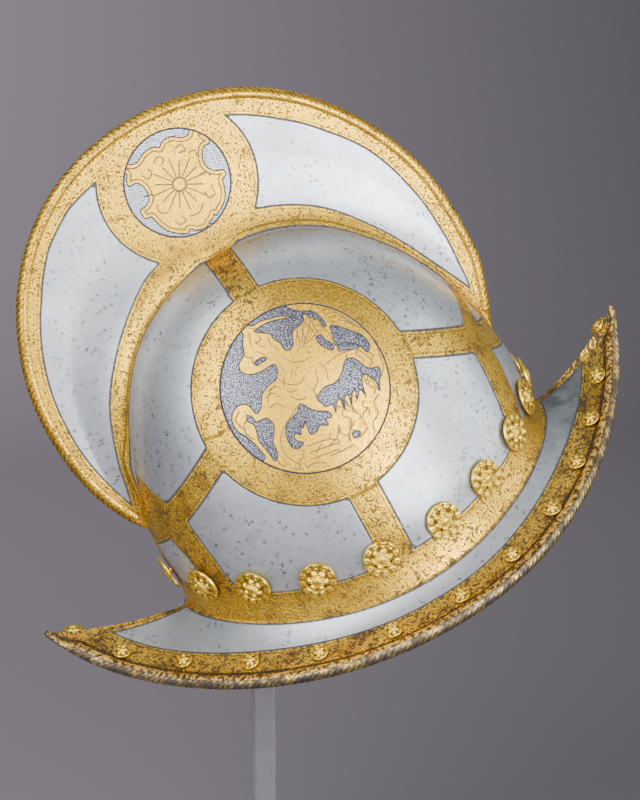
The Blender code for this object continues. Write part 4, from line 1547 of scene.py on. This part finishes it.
@dataclass
class Roundel:
    """Round shield on each face of the comb."""

    radius: float = 30.2
    cells: int = 112
    proud: float = 0.09
    plate: float = 0.4
    inset: float = 2.1
    worn: float = 0.12
    layout: CombLayout = field(default_factory=CombLayout)
    comb: CombSkin = field(default_factory=CombSkin)

    def build(self, side: Side) -> bpy.types.Object:
        """Lay a round grid on the comb's face and draw the shield on it.

        Args:
            side: The side of the helmet.

        Returns:
            The plate.
        """
        obj, spots = round_grid(f"roundel_{side.name.lower()}", self.cells, self.radius)
        unit_size = self.layout.ring_inner / SHIELD.radius_units
        gold, line = SHIELD.marks(spots / unit_size)
        gold, line = gold * unit_size, line * unit_size
        line = np.minimum(line, np.abs(gold - self.inset))
        across, up, (mid_x, mid_z) = spots[:, 0], spots[:, 1], self.layout.roundel_at
        x = mid_x + math.cos(LEAN) * across + math.sin(LEAN) * up
        z = mid_z - math.sin(LEAN) * across + math.cos(LEAN) * up
        angle = np.arctan2(z * MM - PIVOT_Z, x * MM)
        reach = np.hypot(x * MM, z * MM - PIVOT_Z)
        half = np.full(len(x), COMB_NECK)
        for _ in range(3):
            ground = skull_reach(angle, half)
            tall = comb_edge(angle) - skull_reach(angle, 0.0 * angle)
            half = self.comb.half_over(np.maximum(reach - ground, 0.0), tall)
        within = self.layout.ring_inner - np.hypot(spots[:, 0], spots[:, 1])
        store(obj, gilt=ALL_GILT, flat=flat_place(x, z), figure=gold, engraved=line, field=within,
              worn=self.worn)
        points = np.stack((x * MM, side.value * (half + self.proud * MM), z * MM), axis=1)
        place_points(obj, to_world(points))
        face_out(obj, len(obj.data.polygons) // 2, Vector((0.0, side.value, 0.0)))
        thicken(obj, self.plate * MM)
        seal(obj, 60.0)
        return obj


@dataclass
class CastRosettes:
    """Rosettes round the skull and small ones round the brim, each in its node's place."""

    spokes: int = 88
    petals: int = 6
    curls: int = 11

    def profile(self, radius: float, rise: float, seat: float) -> list:
        """Radius and height down a rosette's face from rim to boss."""
        return [(radius * share, seat + (rise - seat) * up) for share, up in
                ((1.0, 0.10), (1.0, 0.26), (0.97, 0.40), (0.92, 0.42), (0.87, 0.38), (0.82, 0.38),
                 (0.77, 0.38), (0.72, 0.42), (0.67, 0.44), (0.62, 0.28), (0.58, 0.26), (0.53, 0.42),
                 (0.46, 0.56), (0.40, 0.60), (0.34, 0.52), (0.30, 0.48), (0.25, 0.70), (0.18, 0.90),
                 (0.10, 0.97), (0.04, 1.0))]

    def build(self, name: str, point: np.ndarray, normal: np.ndarray, radius: float, rise: float,
              seat: float, shank: float, spin: float) -> bpy.types.Object:
        """Model one rosette from a disc, with relief, underside, shank and peened end.

        Args:
            name: The piece's name.
            point: Where it sits, in the helmet's frame.
            normal: The shell's outward normal there.
            radius: Its head's radius.
            rise: Its height over the shell.
            seat: Height of its head's underside.
            shank: Its shank's radius.
            spin: Turn about its own axis.

        Returns:
            The rosette.
        """
        let_go()
        bpy.ops.mesh.primitive_circle_add(vertices=self.spokes, radius=radius, fill_type="NGON")
        obj = bpy.context.object
        obj.name = obj.data.name = name
        bpy.ops.object.mode_set(mode="EDIT")
        bpy.ops.mesh.select_all(action="SELECT")
        steps = self.profile(radius, rise, seat)
        last = radius
        for reach, _ in steps[1:]:
            bpy.ops.mesh.inset(thickness=max(last - reach, 1e-5), depth=0.0)
            last = reach
        bpy.ops.mesh.poke()
        bpy.ops.mesh.select_all(action="DESELECT")
        bpy.ops.mesh.select_non_manifold()
        tail = -WALL - TAIL_REACH
        last, height = radius, 0.0
        for reach, drop in ((0.96 * radius, 0.0), (shank, seat), (shank, tail), (1.5 * shank, tail),
                            (0.2 * shank, tail - TAIL_END)):
            shift, grow = (0.0, 0.0, drop - height), (reach / last, reach / last, 1.0)
            bpy.ops.mesh.extrude_edges_move(TRANSFORM_OT_translate={"value": shift})
            bpy.ops.transform.resize(value=grow, center_override=(0.0, 0.0, drop))
            last, height = reach, drop
        bpy.ops.mesh.edge_face_add()
        bpy.ops.object.mode_set(mode="OBJECT")
        self.chase(obj, steps, radius, rise, seat)
        turned = Vector(normal).to_track_quat("Z", "X").to_matrix().to_4x4()
        place = TO_WORLD @ Matrix.Translation(Vector(point)) @ turned @ Matrix.Rotation(spin, 4, "Z")
        obj.data.transform(place)
        seal(obj, 50.0)
        return obj

    def chase(self, obj: bpy.types.Object, steps: list, radius: float, rise: float, seat: float) -> None:
        """Raise the face's profile, petals and dimples."""
        points = points_of(obj)
        reach = np.hypot(points[:, 0], points[:, 1])
        turn = np.arctan2(points[:, 1], points[:, 0])
        curve = np.array(sorted(steps[1:] + [(0.0, rise)]))
        share = reach / radius
        height = np.interp(reach, curve[:, 0], curve[:, 1])
        relief = rise - seat
        petal = np.exp(-((share - 0.47) / 0.11) ** 2)
        height += 0.20 * relief * petal * np.cos(self.petals * turn)
        height += 0.12 * relief * np.exp(-((share - 0.30) / 0.07) ** 2) * np.cos(2.0 * self.petals * turn)
        step = 2.0 * math.pi / self.curls
        off = (turn + 0.5 * step) % step - 0.5 * step
        away = np.hypot(0.80 * off, share - 0.80) / 0.135
        curl = np.exp(-((away - 0.72) / 0.34) ** 2) * (share > 0.60)
        height += 0.15 * relief * curl
        raised = np.clip((height - seat) / relief, 0.0, 1.0) + 0.25 * petal * np.cos(self.petals * turn)
        raised = np.where(share > 0.64, 0.24 + 0.60 * curl, raised)
        raised = np.where(share > 0.93, 0.80, raised)
        top = (np.abs(points[:, 2]) < 1e-6) & (reach <= radius * 1.0001)
        points[top, 2] = height[top]
        rim = top & (share > 0.999)
        points[rim, 2] = steps[0][1]
        # How raised each point is; the finish paints shade into the low parts
        store(obj, raised=np.where(top, np.clip(raised, 0.0, 1.0), 0.5))
        place_points(obj, points)

    def spots(self) -> tuple:
        """Place and normal of every rosette, then of every brim rivet, in the nodes' order."""
        signs = [side.value for side in Side]
        rosettes = [self.on_skull(sign * math.radians(degrees))
                    for sign in signs for degrees in ROSETTE_ANGLES]
        rosettes.append(self.on_skull(math.pi))
        rivets = [self.on_brim(share, sign, across) for sign in signs for share, across in RIVET_PLACES]
        rivets += [self.on_ridge(math.copysign(1.0, across), abs(across)) for across in RIDGE_RIVETS]
        return rosettes, rivets

    def on_skull(self, turn: float) -> tuple:
        """Place and normal of a skull rosette."""
        here = np.array((turn,))
        level = ROSETTE_UP / (SKULL_HEIGHT - base_height(here))
        step = 0.002
        along = skull_point(here + step, level) - skull_point(here - step, level)
        up = skull_point(here, level + step) - skull_point(here, level - step)
        return skull_point(here, level)[0], unit(np.cross(along, up))[0]

    def on_brim(self, share: float, side: float, across: float) -> tuple:
        """Place and normal of a brim rivet."""
        s, d, a = np.array((share,)), np.array((side,)), np.array((across,))
        step = 0.004
        inner = np.clip(s, -0.99, 0.99)
        along = brim_point(inner + step, d, a) - brim_point(inner - step, d, a)
        over = brim_point(inner, d, np.minimum(1.0, a + 0.02)) - brim_point(inner, d, a - 0.02)
        normal = unit(np.cross(along, over))
        return brim_point(s, d, a)[0], (normal * np.sign(normal[:, 2:3]))[0]

    def on_ridge(self, share: float, across: float) -> tuple:
        """Place and normal of a rivet on the brim's ridge."""
        s, d = np.array((share,)), np.array((1.0,))
        slope = brim_point(s, d, np.array((0.85,))) - brim_point(s, d, np.array((0.75,)))
        normal = unit(np.cross(slope, (0.0, 1.0, 0.0)))
        return brim_point(s, d, np.array((across,)))[0], (normal * np.sign(normal[:, 2:3]))[0]

    def build_all(self, finish: bpy.types.Material) -> None:
        """Build and dress every rosette and rivet."""
        small = CastRosettes(spokes=48, petals=5, curls=8)
        large_sizes = (ROSETTE_RADIUS, ROSETTE_RISE, HEAD_SEAT, ROSETTE_SHANK)
        small_sizes = (RIVET_RADIUS, RIVET_RISE, RIVET_SEAT, RIVET_SHANK)
        rosettes, rivets = self.spots()
        for kind, maker, spots, sizes, spin in (("rosette", self, rosettes, large_sizes, 0.7),
                                                ("brim_rivet", small, rivets, small_sizes, 0.9)):
            for number, (point, normal) in enumerate(spots):
                name = f"{kind}_{number + 1:02d}"
                obj = maker.build(f"{name}_cast", point, normal, *sizes, spin * number)
                hand_over(obj, "gilt_brass", finish, name)


@dataclass
class InnerSkin:
    """Inside of the shell and the comb's hollow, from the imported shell's own faces."""

    near: float = 0.0009

    def build(self, outsides: list) -> bpy.types.Object:
        """Copy the shell and take away what the outer skins already show.

        Args:
            outsides: The outer skins and ropes.

        Returns:
            The inside.
        """
        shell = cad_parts["helmet_shell"]
        obj = bpy.data.objects.new("inner_skin", shell.data.copy())
        bpy.context.scene.collection.objects.link(obj)
        trees = [self.tree(outer) for outer in outsides]
        work = bmesh.new()
        work.from_mesh(obj.data)
        bmesh.ops.remove_doubles(work, verts=work.verts, dist=WELD)
        shown = [f for f in work.faces if self.outside(f, trees)]
        bmesh.ops.delete(work, geom=shown, context="FACES")
        work.to_mesh(obj.data)
        work.free()
        obj.data.polygons.foreach_set("use_smooth", [True] * len(obj.data.polygons))
        take(obj)
        bpy.ops.object.shade_smooth_by_angle(angle=math.radians(35.0))
        let_go()
        return obj

    def tree(self, obj: bpy.types.Object) -> BVHTree:
        """Search tree of a skin."""
        mesh = obj.data
        return BVHTree.FromPolygons([v.co for v in mesh.vertices], [p.vertices for p in mesh.polygons])

    def outside(self, face: bmesh.types.BMFace, trees: list) -> bool:
        """Whether a face of the shell lies under one of the skins, facing the same way."""
        middle = face.calc_center_median()
        for tree in trees:
            spot, normal, _, gap = tree.find_nearest(middle, 0.004)
            if spot is None:
                continue
            if normal.dot(face.normal) > 0.35 and gap < 0.004:
                return True
            if gap < self.near and normal.dot(face.normal) > -0.2:
                return True
        return False


@dataclass
class Studio:
    """Sweep, lights and camera."""

    aim: tuple = (0.0, 0.0, 0.282)
    shift_right: float = 0.0318
    shift_up: float = 0.0175
    stand_off: tuple = (-0.347, -1.632, 0.606)
    back: tuple = (-0.2041, -0.9602, 0.1908)
    yaw: float = -12.0
    lens: float = 139.7
    lights: tuple = (
        ("key_left", (-1.5, -1.6, 1.7), (1.7, 1.8), 52.0, (1.0, 0.985, 0.96)),
        ("front_right", (0.75, -2.1, 0.66), (1.3, 1.2), 60.0, (1.0, 1.0, 1.0)),
        ("fill_right", (1.9, -0.9, 1.1), (1.2, 1.6), 20.0, (0.97, 0.985, 1.0)),
        ("overhead", (0.1, 0.6, 2.2), (1.6, 0.9), 4.0, (1.0, 1.0, 1.0)),
        ("low_left", (-1.5, -1.5, 0.45), (1.2, 0.8), 24.0, (0.96, 0.98, 1.0)),
    )
    air: tuple = (0.86, 0.89, 0.93, 1.0)
    air_strength: float = 0.42

    def build_sweep(self, finish: bpy.types.Material) -> bpy.types.Object:
        """Floor that curves up into a back wall.

        Returns:
            The sweep.
        """
        obj, column, row = new_grid("studio_sweep", 4, 60)
        y = -3.2 + 5.6 * (row / 60)
        bend, radius = 1.35, 0.9
        arc = np.clip((y - bend) / radius, 0.0, 0.5 * math.pi)
        rise = radius * (1.0 - np.cos(arc)) + np.maximum(0.0, y - bend - 0.5 * math.pi * radius) * 4.0
        along = np.where(y < bend, y, bend + radius * np.sin(arc))
        place_points(obj, np.stack((6.0 * (column / 4 - 0.5), along, rise), axis=1))
        face_out(obj, 0, Vector((0.0, 0.0, 1.0)))
        take(obj)
        bpy.ops.object.shade_smooth()
        let_go()
        obj.data.materials.append(finish)
        return obj

    def add_light(self, name: str, place: tuple, size: tuple, power: float, colour: tuple) -> None:
        """One soft rectangular light turned to the helmet."""
        data = bpy.data.lights.new(name, "AREA")
        data.shape = "RECTANGLE"
        data.size, data.size_y = size
        data.energy = power
        data.color = colour
        lamp = bpy.data.objects.new(name, data)
        bpy.context.scene.collection.objects.link(lamp)
        lamp.location = place
        look = Vector(self.aim) - Vector(place)
        lamp.rotation_euler = look.to_track_quat("-Z", "Y").to_euler()

    def build_lights(self) -> None:
        """Big soft lights and an even surround."""
        for light in self.lights:
            self.add_light(*light)
        world = bpy.data.worlds.new("studio_air")
        world.use_nodes = True
        air = world.node_tree.nodes["Background"]
        air.inputs["Color"].default_value = self.air
        air.inputs["Strength"].default_value = self.air_strength
        bpy.context.scene.world = world

    def build_camera(self) -> None:
        """The camera at the photograph's angle."""
        data = bpy.data.cameras.new("view")
        data.lens = self.lens
        data.sensor_width = 36.0
        data.dof.use_dof = False
        eye = bpy.data.objects.new("view", data)
        bpy.context.scene.collection.objects.link(eye)
        eye.location = self.stand_off
        yaw = math.radians(self.yaw)
        right = Vector((math.cos(yaw), math.sin(yaw), 0.0))
        up = Vector(self.back).normalized().cross(right)
        goal = Vector(self.aim) + right * self.shift_right + up * self.shift_up
        look = goal - Vector(self.stand_off)
        eye.rotation_euler = look.to_track_quat("-Z", "Y").to_euler()
        bpy.context.scene.camera = eye


def dress_stand(finish: bpy.types.Material) -> None:
    """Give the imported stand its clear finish."""
    for name in ("stand_base", "stand_post", "stand_pad"):
        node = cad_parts[name]
        node.data.materials.clear()
        node.data.materials.append(finish)
        LOG.info("%s kept", name)


def main() -> None:
    """Build every sub-assembly in order and report it."""
    logging.basicConfig(level=logging.INFO, format="%(message)s")
    let_go()
    studio = Studio()
    studio.build_camera()
    studio.build_lights()
    studio.build_sweep(StudioPaper().material("studio_paper"))

    etched = EtchedGilt().material("etched_gilt")
    figured = EtchedGilt(figured=True).material("etched_figure")
    shielded = EtchedGilt(figured=True, hatched=True).material("etched_shield")
    shell, comb, ropes = ShellSkin(), CombSkin(), RopedRims()
    helmet_skin = shell.build()
    shell.dress(helmet_skin, etched)
    comb_skin = comb.build()
    comb.dress(comb_skin, etched)
    comb_rope, brim_rope = ropes.build_comb(), ropes.build_brim()
    hand_over(comb_rope, "etched_steel", etched, "helmet_shell")
    hand_over(brim_rope, "etched_steel", RopedGilt().material("roped_worn"), "helmet_shell")
    inner = InnerSkin().build([helmet_skin, comb_skin, comb_rope, brim_rope])
    hand_over(inner, "etched_steel", InsideSteel().material("inside_steel"), "helmet_shell")

    medallion, roundel = Medallion(), Roundel()
    picture = medallion.draw()
    for side in Side:
        hand_over(medallion.build(side, picture), "etched_steel", figured)
        hand_over(roundel.build(side), "etched_steel", shielded)
    CastRosettes().build_all(CastBrass().material("cast_brass"))
    dress_stand(ClearAcrylic().material("clear_acrylic"))


if __name__ == "__main__":
    main()
